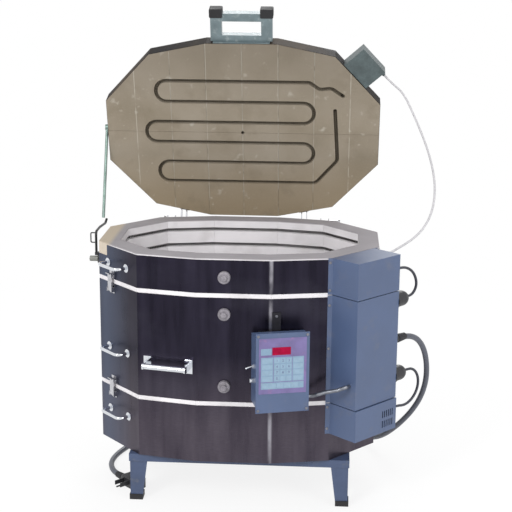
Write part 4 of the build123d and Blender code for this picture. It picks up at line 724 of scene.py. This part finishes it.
side_keys = ((-42.5, 30.5), (52.5, 28.5))
bottom_keys, bottom_key_width, bottom_key_span = [-42.0 + key * 22.2 for key in range(5)], 19.4, (78, 92.5)
number_keys = [((left, left + key_width), (low, low + key_tall)) for low in key_lines for left in key_columns]
keys = list(number_keys)
keys += [((left, left + wide), (low, low + key_tall)) for left, wide in side_keys for low in key_lines]
keys += [((left, left + bottom_key_width), bottom_key_span) for left in bottom_keys]
face_plates("membrane_keys", keys, field_face, key_face, "key", 2.0)
number_size, number_thickness, number_lift = 10.5, 0.06, 0.05
desk_matrix = Matrix((desk_along, Vector((0, 0, 1)), desk_out)).transposed().to_4x4()
number_form = bmesh.new()
for word, (key_across, key_up) in zip("1234567890", number_keys):
    text = bpy.data.curves.new("number", "FONT")
    text.body = word
    text.size = number_size * MM
    text.align_x = text.align_y = "CENTER"
    text.extrude = number_thickness * MM
    holder = add_object("number", text)
    bpy.context.view_layer.update()
    flat = bpy.data.meshes.new_from_object(holder)
    centre = on_desk(key_across[0] + key_width / 2, key_up[0] + key_tall / 2, key_face + number_lift)
    flat.transform(Matrix.Translation(at(*centre)) @ desk_matrix)
    number_form.from_mesh(flat)
    bpy.data.objects.remove(holder)
numbers_mesh = bpy.data.meshes.new("key_numbers")
number_form.to_mesh(numbers_mesh)
number_form.free()
dress(add_object("key_numbers", numbers_mesh), "ink", "body", "overlay_film")


# Softer edges on folded sheet, moulded and brick nodes
def soften(names, width):
    for name in names:
        weld = nodes[name].modifiers.new("weld", "WELD")
        weld.merge_threshold = 0.00002
        bevel = nodes[name].modifiers.new("bevel", "BEVEL")
        bevel.width = width * MM
        bevel.segments = 2
        bevel.limit_method = "ANGLE"
        bevel.angle_limit = radians(32)
        bevel.harden_normals = True


soften(["bottom_ring_bricks", "middle_ring_bricks", "top_ring_bricks"], 0.7)
soften(["bottom_box_cover", "middle_box_cover", "top_box_cover", "controller_box"], 0.5)
soften(["leg_feet", "lid_handle_caps", "power_relays", "control_transformer"], 1.0)


# Floor and world: the camera, metal and glass see them white, or nearly so close to the object
def seen_share(tree):
    """1 for the rays of the camera, of mirrors and of glass, 0 for the light on the object."""
    rays = tree.nodes.new("ShaderNodeLightPath")
    share = rays.outputs["Is Camera Ray"]
    for kind in ("Is Glossy Ray", "Is Transmission Ray"):
        either = tree.nodes.new("ShaderNodeMath")
        either.operation = "MAXIMUM"
        tree.links.new(share, either.inputs[0])
        tree.links.new(rays.outputs[kind], either.inputs[1])
        share = either.outputs["Value"]
    return share


floor_reach, floor_level = 60.0, -0.0005
near_object, far_off, white_near_object = 0.8, 2.6, 0.84
floor_corners = [(-floor_reach, -floor_reach, 0), (floor_reach, -floor_reach, 0), (floor_reach, floor_reach, 0),
                 (-floor_reach, floor_reach, 0)]
floor_mesh = bpy.data.meshes.new("floor")
floor_mesh.from_pydata(floor_corners, [], [(0, 1, 2, 3)])
floor = add_object("floor", floor_mesh)
floor.location.z = floor_level
floor_look = Look("pale floor")
floor_tone = floor_look.ramp(floor_look.noise(0.8), (0.3, (0.90, 0.90, 0.90)), (0.7, (0.92, 0.92, 0.92)))
floor_rough = floor_look.fit(floor_look.noise(2.0), 0.3, 0.7, 0.8, 0.9)
floor.data.materials.append(floor_look.finish(floor_tone, floor_rough))
floor_tree = floor_look.tree
away = floor_tree.nodes.new("ShaderNodeVectorMath")
away.operation = "LENGTH"
floor_look.link(floor_look.place, away.inputs[0])
white_share = floor_look.fit(away.outputs["Value"], near_object, far_off, white_near_object, 1.0)
white = floor_tree.nodes.new("ShaderNodeEmission")
either_floor = floor_tree.nodes.new("ShaderNodeMixShader")
floor_look.link(floor_look.both(seen_share(floor_tree), white_share), either_floor.inputs[0])
floor_look.link(floor_look.shader.outputs["BSDF"], either_floor.inputs[1])
floor_look.link(white.outputs["Emission"], either_floor.inputs[2])
floor_look.link(either_floor.outputs["Shader"], floor_tree.nodes["Material Output"].inputs["Surface"])


# Light: three soft lamps and an even world
def area_light(name, place, target, size, power):
    lamp = bpy.data.lights.new(name, "AREA")
    lamp.shape = "RECTANGLE"
    lamp.size, lamp.size_y = size
    lamp.energy = power
    holder = add_object(name, lamp)
    holder.location = place
    holder.rotation_euler = (Vector(target) - Vector(place)).to_track_quat("-Z", "Y").to_euler()


area_light("key", (-1.9, -3.4, 3.0), target=(0, 0, 0.7), size=(1.1, 1.6), power=95)
area_light("fill", (3.0, -2.6, 1.8), target=(0, 0, 0.6), size=(1.6, 1.8), power=42)
area_light("back", (0.5, 3.2, 3.2), target=(0, 0, 0.8), size=(2.4, 1.4), power=60)
world_light, world_seen = 0.78, 1.0
world = bpy.data.worlds.new("studio")
world.use_nodes = True
scene.world = world
tree = world.node_tree
background = tree.nodes["Background"]
level_mix = tree.nodes.new("ShaderNodeMapRange")
level_mix.inputs["To Min"].default_value = world_light
level_mix.inputs["To Max"].default_value = world_seen
tree.links.new(seen_share(tree), level_mix.inputs["Value"])
tree.links.new(level_mix.outputs["Result"], background.inputs["Strength"])
background.inputs["Color"].default_value = (1, 1, 1, 1)
scene.view_settings.view_transform = "Standard"
